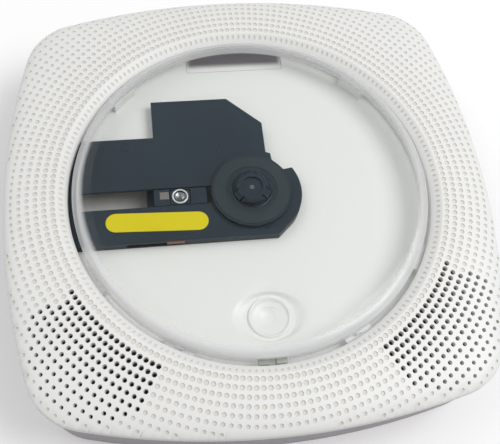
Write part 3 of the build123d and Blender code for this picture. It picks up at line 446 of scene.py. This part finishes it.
finishes = {
    "shell_white": finish("shell_white", (0.80, 0.80, 0.785), 0.42, grain=2400.0, bump=0.12, mottle=0.012),
    # Darker beige inside the dimples is painted shade in the pits of the white shell
    "dimple_painted_shade": finish("dimple_painted_shade", (0.69, 0.68, 0.63), 0.50, grain=2400.0, bump=0.12, mottle=0.02),
    # Grey of the speaker holes' walls is painted shade inside the holes
    "hole_wall_painted_shade": finish("hole_wall_painted_shade", (0.66, 0.65, 0.61), 0.5, grain=2400.0, mottle=0.015),
    "hole_black": finish("hole_black", (0.012, 0.012, 0.013), 0.9, grain=3000.0, bump=0.3, mottle=0.2),
    "well_white": finish("well_white", (0.83, 0.835, 0.815), 0.34, grain=1800.0, bump=0.05, mottle=0.012),
    # Rear housing: white plastic darkened to a mauve grey, as painted shade of the band under the lip
    "rear_grey": finish("rear_grey", (0.36, 0.325, 0.35), 0.46, grain=2200.0, bump=0.12, mottle=0.02),
    "zinc": finish("zinc", (0.80, 0.79, 0.77), 0.42, grain=700.0, bump=0.08, mottle=0.06, patch=90.0),
    "lens_silver": finish("lens_silver", (0.64, 0.65, 0.66), 0.24, metallic=0.3, grain=1500.0, mottle=0.04),
    "dark_steel": finish("dark_steel", (0.22, 0.22, 0.22), 0.30, metallic=1.0, grain=1500.0, mottle=0.08),
    "gloss_black": finish("gloss_black", (0.012, 0.014, 0.016), 0.14, grain=900.0, mottle=0.1),
    "sensor_grey": finish("sensor_grey", (0.19, 0.18, 0.17), 0.30, grain=1500.0, mottle=0.08, patch=300.0),
    "copper_film": finish("copper_film", (0.23, 0.08, 0.022), 0.34, grain=900.0, mottle=0.12, patch=200.0),
    # Grey-green of the notch's catch is painted shade on the shell's white plastic
    "catch_painted_shade": finish("catch_painted_shade", (0.38, 0.40, 0.35), 0.45, grain=1500.0, bump=0.1, mottle=0.05),
    "clear_plastic": film_finish("clear_plastic", (0.80, 0.80, 0.81), 1.6, 0.3),
    "black_plastic": finish(
        "black_plastic", (0.014, 0.028, 0.041), 0.45, grain=3600.0, bump=0.08, mottle=0.12),
    "dark_window": window_finish("dark_window", (0.170, 0.155, 0.172), (0.83, 0.835, 0.815, 1)),
    "digit_block": finish("digit_block", (0.10, 0.10, 0.11), 0.5, mottle=0.06),
    "yellow_film": finish("yellow_film", (0.72, 0.61, 0.0), 0.5, grain=1500.0, bump=0.06, mottle=0.025),
    "rubber": finish("rubber", (0.012, 0.027, 0.034), 0.62, grain=2600.0, bump=0.12, mottle=0.15),
    "steel": finish("steel", (0.56, 0.56, 0.56), 0.36, metallic=1.0, grain=1400.0, bump=0.1, mottle=0.05),
    "polished_steel": finish(
        "polished_steel", (0.66, 0.66, 0.67), 0.14, metallic=1.0, grain=1600.0, mottle=0.03),
    "gear_plastic": finish("gear_plastic", (0.60, 0.59, 0.55), 0.40, grain=1500.0, bump=0.05, mottle=0.03),
    "lens_glass": glass_finish("lens_glass", (0.90, 0.95, 0.97), 0.03),
    "amber_film": finish("amber_film", (0.36, 0.15, 0.06), 0.30, grain=900.0, mottle=0.10),
    "board_green": finish("board_green", (0.05, 0.16, 0.07), 0.42, grain=1200.0, bump=0.1, mottle=0.08),
    "paper": finish("paper", (0.035, 0.035, 0.036), 0.85, grain=1800.0, bump=0.4, mottle=0.15),
    "ferrite": finish("ferrite", (0.045, 0.045, 0.047), 0.60, grain=900.0, bump=0.2, mottle=0.12),
}

for flat in ("yellow_film", "black_plastic"):
    flat_shader = finishes[flat].node_tree.nodes["Principled BSDF"]
    flat_shader.inputs["Specular IOR Level"].default_value = FLAT_GLOSS

for part in frame["record"]["subparts"]:
    part_object = nodes[part["node"]]
    part_object.data.materials.clear()
    part_object.data.materials.append(finishes[part["material_slot"]])


def paint(piece, *names):
    """Give a piece its finishes."""
    for name in names:
        piece.data.materials.append(finishes[name])


def dress(piece, body, slot, *replaced):
    """Put a finished piece on its body and hide the nodes that it stands for; the material slot is not used.
    """
    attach(piece, body)
    if replaced:
        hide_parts(*replaced)


# ---------------------------------------------------------------- front shell

def outline_radius(angle):
    """Distance in millimetres from the centre to the body outline, at an angle in radians."""
    folded = abs((angle + math.pi / 4) % (math.pi / 2) - math.pi / 4)
    side_centre = SIDE_RADIUS - HALF_WIDTH
    corner = (math.sqrt(2 * (SIDE_RADIUS - CORNER_RADIUS) ** 2 - side_centre**2) - side_centre) / 2
    joint = math.atan2(corner, corner + side_centre)
    tangent = math.atan2(SIDE_RADIUS * math.sin(joint), SIDE_RADIUS * math.cos(joint) - side_centre)
    if folded <= tangent:
        along = side_centre * math.cos(folded)
        return math.sqrt(SIDE_RADIUS**2 - side_centre**2 + along**2) - along
    along = corner * (math.cos(folded) + math.sin(folded))
    return along + math.sqrt(along**2 - 2 * corner**2 + CORNER_RADIUS**2)


def ray_angle(ray):
    """Angle in radians of a ray of dimples, counted from straight down."""
    return -math.pi / 2 + 2 * math.pi * ray / RAYS


def ring_radius(ring):
    """Radius of a ring of dimples: ring 0 is on the slope to the mouth, the others on the crown."""
    return FIRST_RING + RING_PITCH * (ring - 1) if ring else SLOPE_RING


def cell_half(ray, ring):
    """Half the side of the cell round a dimple, which stays clear of its neighbours and the outline."""
    if not ring:
        return SLOPE_HALF
    radius = ring_radius(ring)
    room = outline_radius(ray_angle(ray)) - radius
    return min(CELL_OF_PITCH * RING_PITCH, CELL_OF_GAP * math.pi * radius / RAYS, CELL_OF_ROOM * room)


def stretch(ring):
    """How much longer than wide a dimple is: the ones on the slope are short slots."""
    return 1.0 if ring else SLOPE_STRETCH


def dots_on_ray(ray):
    """Number of dimples on the crown along a ray."""
    room = outline_radius(ray_angle(ray)) - OUTLINE_MARGIN - FIRST_RING
    return min(RING_COUNT, int(room / RING_PITCH) + 1)


def dimple_radius(ray, ring):
    """Radius of a dimple: largest near the crest and smaller towards the outline."""
    if not ring:
        return SLOPE_DIMPLE
    last = OUTER_DIMPLE if ring == dots_on_ray(ray) else 1.0
    return (DIMPLE_WIDTH - DIMPLE_TAPER * ring) * last / 2


def open_hole(ray, ring):
    """True for a hole of the two speaker grilles in the lower corners."""
    offset = min(ray % RAYS, RAYS - ray % RAYS)
    low = GRILLE_STARTS.get(ring, GRILLE_START)
    high = GRILLE_ENDS.get(ring, RAYS // 4 - low + (ring < GRILLE_WIDER))
    room = outline_radius(ray_angle(ray)) - ring_radius(ring)
    return ring >= GRILLE_RING and room > HOLE_MARGIN and low <= offset <= high


def crown_turn(angle, radius):
    """Angle along the crown's elliptic section, 0 at the crest and a quarter turn at the outline."""
    share = (radius - CROWN_RADIUS) / (outline_radius(angle) - CROWN_RADIUS)
    return math.asin(min(1.0, max(0.0, share)))


def crown_point(angle, turn):
    """Radius and depth of a point of the crown, and the slope of the crown there."""
    reach = outline_radius(angle) - CROWN_RADIUS
    slope = math.atan2(DROP * math.sin(turn), reach * math.cos(turn))
    return CROWN_RADIUS + reach * math.sin(turn), CREST - DROP * (1 - math.cos(turn)), slope


def shell_rows():
    """Loops of the shell from the mouth's underside to the lip's, each with its kind and place."""
    rows = [
        ("fixed", MOUTH_RADIUS + MOUTH_UNDERSIDE, MOUTH_FOOT),
        ("fixed", MOUTH_RADIUS, MOUTH_FOOT),
        ("fixed", MOUTH_RADIUS, MOUTH_TOP - MOUTH_EDGE_DROP),
        ("fixed", MOUTH_RADIUS + MOUTH_EDGE_OUT, MOUTH_TOP + MOUTH_EDGE_RISE),
        ("ring", 0, -1),
        ("ring", 0, 1),
        ("fixed", CREST_RADIUS - CREST_EDGE_IN, CREST - CREST_EDGE_DROP),
        ("fixed", CREST_RADIUS + CREST_EDGE_OUT, CREST),
    ]
    for ring in range(1, RING_COUNT + 1):
        rows += [("ring", ring, -1), ("ring", ring, 1)]
    rows += [("rim", step, RIM_LOOPS) for step in range(1, RIM_LOOPS + 1)]
    rows += [("lip", 0.0, LIP_END + LIP_EDGE), ("lip", LIP_EDGE, LIP_END), ("lip", LIP_WALL, LIP_END)]
    return rows


def slope_point(radius):
    """Depth and slope of the cone between the mouth and the crest, at a radius."""
    steep = math.atan2(CREST - MOUTH_TOP, CREST_RADIUS - MOUTH_RADIUS)
    return MOUTH_TOP + math.tan(steep) * (radius - MOUTH_RADIUS), -steep


def round_point(angle, radius, depth):
    """Point of the scene in millimetres from an angle and a radius seen from the front, and a depth."""
    return Vector((radius * math.cos(angle), -depth, radius * math.sin(angle)))


def surface_point(ray, ring, across, outwards, sunk):
    """Point near a dimple's centre, in millimetres across, outwards along the surface, and sunk into it."""
    radius = ring_radius(ring)
    centre = ray_angle(ray)
    if ring:
        slope = crown_point(centre, crown_turn(centre, radius))[2]
    else:
        slope = slope_point(radius)[1]
    radius += outwards * math.cos(slope)
    angle = centre + across / radius
    depth = crown_point(angle, crown_turn(angle, radius))[1] if ring else slope_point(radius)[0]
    return round_point(angle, radius - sunk * math.sin(slope), depth - sunk * math.cos(slope))


def loop_point(rows, line, row):
    """Point where a loop of the shell crosses a line beside a ray of dimples."""
    ray = line // 2
    side = 2 * (line % 2) - 1
    kind, first, second = rows[row]
    if kind == "ring" and first <= dots_on_ray(ray):
        half = cell_half(ray, first)
        return surface_point(ray, first, side * half, second * half * stretch(first), 0.0)
    dots = dots_on_ray(ray)
    half = cell_half(ray, dots)
    outer = ring_radius(dots) + half
    angle = ray_angle(ray) + side * half / outer
    if kind == "fixed":
        near = SLOPE_HALF / SLOPE_RING if first < SLOPE_RING else cell_half(ray, 1) / FIRST_RING
        return round_point(ray_angle(ray) + side * near, first, second)
    if kind == "lip":
        return round_point(angle, outline_radius(angle) - first, second)
    begin = crown_turn(angle, outer)
    left = 2 * (RING_COUNT - dots)
    passed = 2 * (first - dots) + (second - 1) // 2 if kind == "ring" else left + first
    turn = begin + (math.pi / 2 - begin) * passed / (left + RIM_LOOPS)
    radius, depth = crown_point(angle, turn)[:2]
    return round_point(angle, radius, depth)


def dimple_cell(rows, x, y):
    """Ray and ring of the dimple whose flat cell holds the point, or None."""
    column, row = int(x), int(y)
    if column % 2 or row >= len(rows) - 1 or rows[row][0] != "ring" or rows[row][2] > 0:
        return None
    ray, ring = column // 2, rows[row][1]
    return (ray, ring) if ring <= dots_on_ray(ray) else None


def wrapped_point(rows, x, y):
    """Place on the shell of a point of the flat sheet, where every cell is a unit square."""
    line, row = round(x), round(y)
    if abs(x - line) < SHEET_CORNER and abs(y - row) < SHEET_CORNER:
        return loop_point(rows, line, row)
    ray, ring = dimple_cell(rows, x, y)
    across, outwards = 2 * (x % 1) - 1, 2 * (y % 1) - 1
    step = min(CELL_STEPS + (0.0,), key=lambda level: abs(level - max(abs(across), abs(outwards))))
    form = HOLE_FORM if open_hole(ray, ring) else DIMPLE_FORM
    share, sunk = form[step]
    if form is HOLE_FORM and step < WALL_STEP:
        share -= HOLE_TAPER * ring
    radius = share * dimple_radius(ray, ring)
    scale = radius / max(SHEET_MIDDLE, math.hypot(across, outwards))
    depth = sunk if ring else SLOPE_SINK * sunk
    return surface_point(ray, ring, across * scale, outwards * scale * stretch(ring), depth)


def front_shell():
    """Crowned front with its rings of dimples and speaker holes, modelled flat and wrapped round."""
    rows = shell_rows()
    width, height = 2 * RAYS, len(rows) - 1
    deselect()
    bpy.ops.mesh.primitive_grid_add(x_subdivisions=width, y_subdivisions=height, size=1.0)
    piece = named("front_shell")
    bpy.ops.object.mode_set(mode="EDIT")
    bpy.ops.mesh.select_all(action="SELECT")
    bpy.ops.transform.translate(value=(0.5, 0.5, 0))
    bpy.ops.transform.resize(value=(width, height, 1), center_override=(0, 0, 0))
    bpy.ops.object.mode_set(mode="OBJECT")
    select_faces(piece, lambda face: dimple_cell(rows, face.center.x, face.center.y) is not None)
    bpy.ops.mesh.inset(thickness=CELL_INSETS[0], use_individual=True)
    bpy.ops.mesh.subdivide(number_cuts=1)
    for thickness in CELL_INSETS[1:]:
        bpy.ops.mesh.inset(thickness=thickness, use_individual=False)
    bpy.ops.object.mode_set(mode="OBJECT")
    names = ("shell_white", "dimple_painted_shade", "hole_wall_painted_shade", "hole_black")
    paint(piece, *names)
    for face in piece.data.polygons:
        cell = dimple_cell(rows, face.center.x, face.center.y)
        middle = max(abs(2 * (face.center.x % 1) - 1), abs(2 * (face.center.y % 1) - 1))
        if not cell or middle >= EDGE_STEP:
            continue
        # Faces inside a dimple, and a speaker hole's countersink, get the dimples' painted shade
        if not open_hole(*cell) or middle > WALL_STEP:
            face.material_index = names.index("dimple_painted_shade")
        else:
            # A speaker hole's walls get painted shade, and its floor the black of what lies behind the hole
            face.material_index = names.index("hole_black" if middle < FLOOR_STEP else "hole_wall_painted_shade")
    for vertex in piece.data.vertices:
        vertex.co = wrapped_point(rows, vertex.co.x, vertex.co.y) * MM
    return settle(piece, 50.0)


# ---------------------------------------------------------------- lathe work and rounded copies

def lathe(name, profile, steps, centre=(0.0, 0.0)):
    """Spin a line of (radius, depth) points, in millimetres, round an axis that points to the front."""
    deselect()
    bpy.ops.mesh.primitive_plane_add(size=MM)
    piece = named(name)
    bpy.ops.object.mode_set(mode="EDIT")
    bpy.ops.mesh.select_mode(type="VERT")
    bpy.ops.mesh.select_all(action="SELECT")
    bpy.ops.mesh.merge(type="CENTER")
    across, up = centre
    places = [Vector((across + radius, -depth, up)) * MM for radius, depth in profile]
    bpy.ops.transform.translate(value=places[0])
    for start, end in zip(places, places[1:]):
        bpy.ops.mesh.extrude_region_move(TRANSFORM_OT_translate={"value": end - start})
    bpy.ops.mesh.select_all(action="SELECT")
    bpy.ops.mesh.spin(steps=steps, angle=2 * math.pi, center=(across * MM, 0, up * MM), axis=(0, 1, 0))
    bpy.ops.object.mode_set(mode="OBJECT")
    return piece


def raised(section, base):
    """Section of (radius, depth) points from one whose heights are over a base."""
    return [(radius, base + height) for radius, height in section]


def slab(name, left, right, low, high, back, front, edge):
    """Block between two places across, up and forwards, in millimetres, with rounded edges."""
    deselect()
    middle = (left + right, -(back + front), low + high)
    bpy.ops.mesh.primitive_cube_add(size=MM, location=[0.5 * MM * value for value in middle])
    piece = named(name)
    bpy.ops.object.mode_set(mode="EDIT")
    bpy.ops.transform.resize(value=(right - left, front - back, high - low))
    bpy.ops.mesh.bevel(offset=edge * MM, segments=EDGE_SEGMENTS, affect="EDGES")
    bpy.ops.object.mode_set(mode="OBJECT")
    pick(piece)
    bpy.ops.object.transform_apply(location=True)
    return piece


def combine(piece, tool, operation):
    """Cut or join a tool piece, then throw the tool away."""
    pick(piece)
    change = piece.modifiers.new("combine", "BOOLEAN")
    change.operation = operation
    change.solver = "EXACT"
    change.object = tool
    bpy.ops.object.modifier_apply(modifier=change.name)
    bpy.data.objects.remove(tool)


def weigh_normals(piece):
    """Let large faces keep their own normal where they meet small ones."""
    pick(piece)
    weighted = piece.modifiers.new("weighted", "WEIGHTED_NORMAL")
    weighted.keep_sharp = True
    weighted.weight = MOST_WEIGHT
    bpy.ops.object.modifier_apply(modifier=weighted.name)


def rounded(node, slot, angle=14.0, edge=0.0):
    """Smooth copy of a CAD node, with its corners rounded where edge is given, that stands for the node."""
    piece = bpy.data.objects.new(node + "_rounded", nodes[node].data.copy())
    bpy.context.scene.collection.objects.link(piece)
    piece.data.materials.clear()
    paint(piece, slot)
    pick(piece)
    bpy.ops.object.mode_set(mode="EDIT")
    bpy.ops.mesh.select_all(action="SELECT")
    bpy.ops.mesh.remove_doubles(threshold=MERGE_GAP)
    bpy.ops.mesh.dissolve_limited(angle_limit=math.radians(FLAT_ANGLE))
    bpy.ops.object.mode_set(mode="OBJECT")
    if edge:
        bevel = piece.modifiers.new("edge", "BEVEL")
        bevel.width = edge * MM
        bevel.segments = EDGE_SEGMENTS
        bevel.limit_method = "ANGLE"
        bevel.angle_limit = math.radians(SHARP_ANGLE)
        bpy.ops.object.modifier_apply(modifier=bevel.name)
    settle(piece, angle)
    weigh_normals(piece)
    dress(piece, body_of[node], slot_of[node], node)
    return piece


# ---------------------------------------------------------------- clear cover

def shoulder_line(wall):
    """Points of the shoulder's section from the flat front to the rim, drawn in by a wall."""
    middle = COVER_RADIUS - SHOULDER_WIDTH
    foot = COVER_FRONT - SHOULDER_DROP
    turns = [math.pi / 2 * step / SHOULDER_STEPS for step in range(SHOULDER_STEPS + 1)]
    wide, high = SHOULDER_WIDTH - wall, SHOULDER_DROP - wall
    return [(middle + wide * math.sin(turn), foot + high * math.cos(turn)) for turn in turns]


def dust_cover():
    """Clear dish with a smooth shoulder, a finger notch at the bottom and two lugs on its rim."""
    outside = [(0.0, COVER_FRONT), *shoulder_line(0.0), (COVER_RADIUS, COVER_SEAT + RIM_EDGE)]
    rim = [(COVER_RADIUS - RIM_EDGE, COVER_SEAT), (COVER_RADIUS - COVER_WALL + RIM_EDGE, COVER_SEAT)]
    inside = [(COVER_RADIUS - COVER_WALL, COVER_SEAT + RIM_EDGE), *reversed(shoulder_line(COVER_WALL)),
              (0.0, COVER_FRONT - COVER_WALL)]
    cover = lathe("clear_cover", outside + rim + inside, COVER_TURNS)
    settle(cover)
    below, behind = NOTCH_SPARE
    notch = slab("notch_tool", -NOTCH_HALF, NOTCH_HALF, -COVER_RADIUS - below, -COVER_RADIUS + NOTCH_RISE,
                 COVER_SEAT - behind, NOTCH_TOP, NOTCH_EDGE)
    combine(cover, notch, "DIFFERENCE")
    for side in (-1, 1):
        lug = slab("lug_tool", -LUG_HALF, LUG_HALF, -COVER_RADIUS - LUG_REACH, -COVER_RADIUS + LUG_REACH,
                   COVER_SEAT, COVER_SEAT + LUG_HEIGHT, LUG_EDGE)
        pick(lug)
        turn = -side * math.radians(LUG_ANGLE)
        bpy.ops.transform.rotate(value=turn, orient_axis="Y", center_override=(0, 0, 0))
        bpy.ops.object.transform_apply(location=True, rotation=True)
        combine(cover, lug, "UNION")
    paint(cover, "clear_plastic")
    settle(cover, 35.0)
    weigh_normals(cover)
    dress(cover, "cover", "clear_plastic", "dust_cover")


def notch_catch():
    """Pale catch on the well's rim that shows in the cover's notch; its grey-green is painted shade on the
    shell's white plastic.
    """
    catch = slab("notch_catch", *CATCH_BLOCK)
    step = slab("catch_tool", *CATCH_STEP)
    combine(catch, step, "DIFFERENCE")
    paint(catch, "catch_painted_shade")
    settle(catch)
    dress(catch, "shell", "shell_white")


# ---------------------------------------------------------------- well, deck and pickup

def recess_liner(well):
    """Finger recess with a raised ring in a wide dish, let into the copy of the well."""
    across, up = RECESS_PLACE
    cut = lathe("recess_tool", raised(CUT_SECTION, FLOOR), LINER_STEPS)
    cut.scale = (RECESS_CUT[0], 1.0, RECESS_CUT[1])
    cut.location = (across * MM, 0.0, up * MM)
    settle(cut)
    combine(well, cut, "DIFFERENCE")
    settle(well, 14.0)
    weigh_normals(well)
    liner = lathe("recess_liner", raised(RECESS_SECTION, FLOOR), LINER_STEPS)
    for vertex in liner.data.vertices:
        radius = math.hypot(vertex.co.x, vertex.co.z) / MM
        share = min(1.0, max(0.0, (radius - RING_FOOT) / (DISH_EDGE - RING_FOOT)))
        wide, high = [1 + share * (most - 1) for most in DISH_STRETCH]
        if radius > DISH_EDGE + 1:
            wide, high = COLLAR_STRETCH
        vertex.co.x = vertex.co.x * wide + across * MM
        vertex.co.z = vertex.co.z * high + up * MM
    paint(liner, "well_white")
    settle(liner, 60.0)
    dress(liner, "shell", "shell_white")


def pickup_details():
    """Silver lens ring, clear lens over a bright seat, and the pale sensor beside them."""
    ring = lathe("lens_ring", raised(LENS_RING_SECTION, RING_TOP), 64, (LENS_X, 0.0))
    paint(ring, "lens_silver")
    settle(ring, 60.0)
    dress(ring, "lens", "steel")
    seat = lathe("lens_seat", raised(LENS_SEAT_SECTION, HEAD_TOP), 48, (LENS_X, 0.0))
    paint(seat, "dark_steel")
    settle(seat, 40.0)
    dress(seat, "lens", "steel")
    turns = [math.pi / 2 * step / GLASS_STEPS for step in range(GLASS_STEPS + 1)]
    foot = HEAD_TOP - GLASS_FOOT
    crown = [(GLASS_RADIUS * math.cos(turn), foot + GLASS_CROWN * math.sin(turn)) for turn in turns]
    glass = lathe("objective_lens", raised(GLASS_SECTION, HEAD_TOP) + crown, 64, (LENS_X, 0.0))
    paint(glass, "lens_glass")
    settle(glass, 50.0)
    dress(glass, "lens", "lens_glass", "pickup_lens")
    sensor = slab("sensor_plate", *SENSOR_BLOCK)
    paint(sensor, "sensor_grey")
    settle(sensor)
    dress(sensor, "sled", "black_plastic")


def deck_details():
    """Ring round the hub, small stud on the black deck and the copper end of the ribbon on its skirt."""
    ring = lathe("hub_ring", HUB_RING_SECTION, 96)
    paint(ring, "gloss_black")
    settle(ring, 60.0)
    dress(ring, "platter", "black_plastic")
    stud = lathe("deck_stud", raised(STUD_SECTION, DECK_TOP), 32, STUD_PLACE)
    paint(stud, "rubber")
    settle(stud, 60.0)
    dress(stud, "shell", "black_plastic")
    strip = slab("copper_end", *COPPER_BLOCK)
    paint(strip, "copper_film")
    settle(strip)
    dress(strip, "shell", "black_plastic")


# ---------------------------------------------------------------- stage, light and camera

def stage():
    """Pale wall that keeps the player's soft shadow and neither hides nor shades its back."""
    deselect()
    upright = (math.pi / 2, 0, 0)
    bpy.ops.mesh.primitive_plane_add(size=STAGE_SIZE, location=(0, STAGE_GAP, 0), rotation=upright)
    wall = named("stage_wall")
    material = bpy.data.materials.new("stage_white")
    material.use_nodes = True
    tree = material.node_tree
    shader = tree.nodes["Principled BSDF"]
    shader.inputs["Base Color"].default_value = STAGE_WHITE
    shader.inputs["Roughness"].default_value = 0.9
    shader.inputs["Specular IOR Level"].default_value = 0.1
    glow = tree.nodes.new("ShaderNodeEmission")
    seen = tree.nodes.new("ShaderNodeLightPath")
    lit = tree.nodes.new("ShaderNodeAddShader")
    none = tree.nodes.new("ShaderNodeBsdfTransparent")
    side = tree.nodes.new("ShaderNodeNewGeometry")
    tree.links.new(seen.outputs["Is Camera Ray"], glow.inputs["Strength"])
    tree.links.new(shader.outputs["BSDF"], lit.inputs[0])
    tree.links.new(glow.outputs["Emission"], lit.inputs[1])
    glow.inputs["Color"].default_value = STAGE_GLOW
    surface = lit.outputs["Shader"]
    for passed in (side.outputs["Backfacing"], seen.outputs["Is Diffuse Ray"], seen.outputs["Is Shadow Ray"]):
        surface = join_shaders(tree, passed, surface, none.outputs["BSDF"])
    tree.links.new(surface, tree.nodes["Material Output"].inputs["Surface"])
    wall.data.materials.append(material)


def lights():
    """Soft frontal light, stronger from the right, a lamp for the back, and a pale world."""
    world = bpy.data.worlds.new("studio")
    world.use_nodes = True
    world.node_tree.nodes["Background"].inputs["Color"].default_value = (1.0, 1.0, 1.0, 1)
    world.node_tree.nodes["Background"].inputs["Strength"].default_value = WORLD_LIGHT
    bpy.context.scene.world = world
    for name, place, size, power in LAMPS:
        lamp = bpy.data.lights.new(name, "AREA")
        lamp.size = size
        lamp.energy = power
        holder = bpy.data.objects.new(name, lamp)
        bpy.context.scene.collection.objects.link(holder)
        holder.location = place
        holder.rotation_euler = Vector(place).to_track_quat("Z", "Y").to_euler()


def camera():
    """Camera at the photograph's angle, low on the left and looking up."""
    data = bpy.data.cameras.new("camera")
    data.sensor_width = CAMERA_SENSOR
    data.sensor_fit = "HORIZONTAL"
    data.lens = CAMERA_LENS
    data.clip_start = CAMERA_NEAR
    holder = bpy.data.objects.new("camera", data)
    bpy.context.scene.collection.objects.link(holder)
    turn = Matrix((CAMERA_RIGHT, CAMERA_UP, CAMERA_BACK)).transposed().to_4x4()
    turn.translation = Vector(CAMERA_PLACE)
    holder.matrix_world = turn
    bpy.context.scene.camera = holder


shell = front_shell()
weigh_normals(shell)
dress(shell, "shell", "shell_white", "front_housing")
dust_cover()
notch_catch()
for node, material in (
    ("deck_frame", "zinc"),
    ("deck_cover_screws", "black_plastic"),
    ("spindle_shaft", "dark_steel"),
):
    nodes[node].data.materials[0] = finishes[material]
well = rounded("disc_well", "dark_window")
# The rear housing copy takes rear_grey, painted shade over its white plastic
rounded("rear_housing", "rear_grey")
rounded("deck_cover", "black_plastic", edge=0.2)
rounded("turntable", "black_plastic")
rounded("turntable_mat", "rubber")
recess_liner(well)
for node in ("mode", "previous", "next", "play", "volume_down", "volume_up"):
    rounded(node + "_button", slot_of[node + "_button"], 30.0, 0.25)
for node in ("wall_pads", "case_screws", "wall_bracket"):
    rounded(node, slot_of[node], 30.0)
pickup_details()
deck_details()
stage()
lights()
camera()
bpy.context.scene.view_settings.view_transform = "Standard"
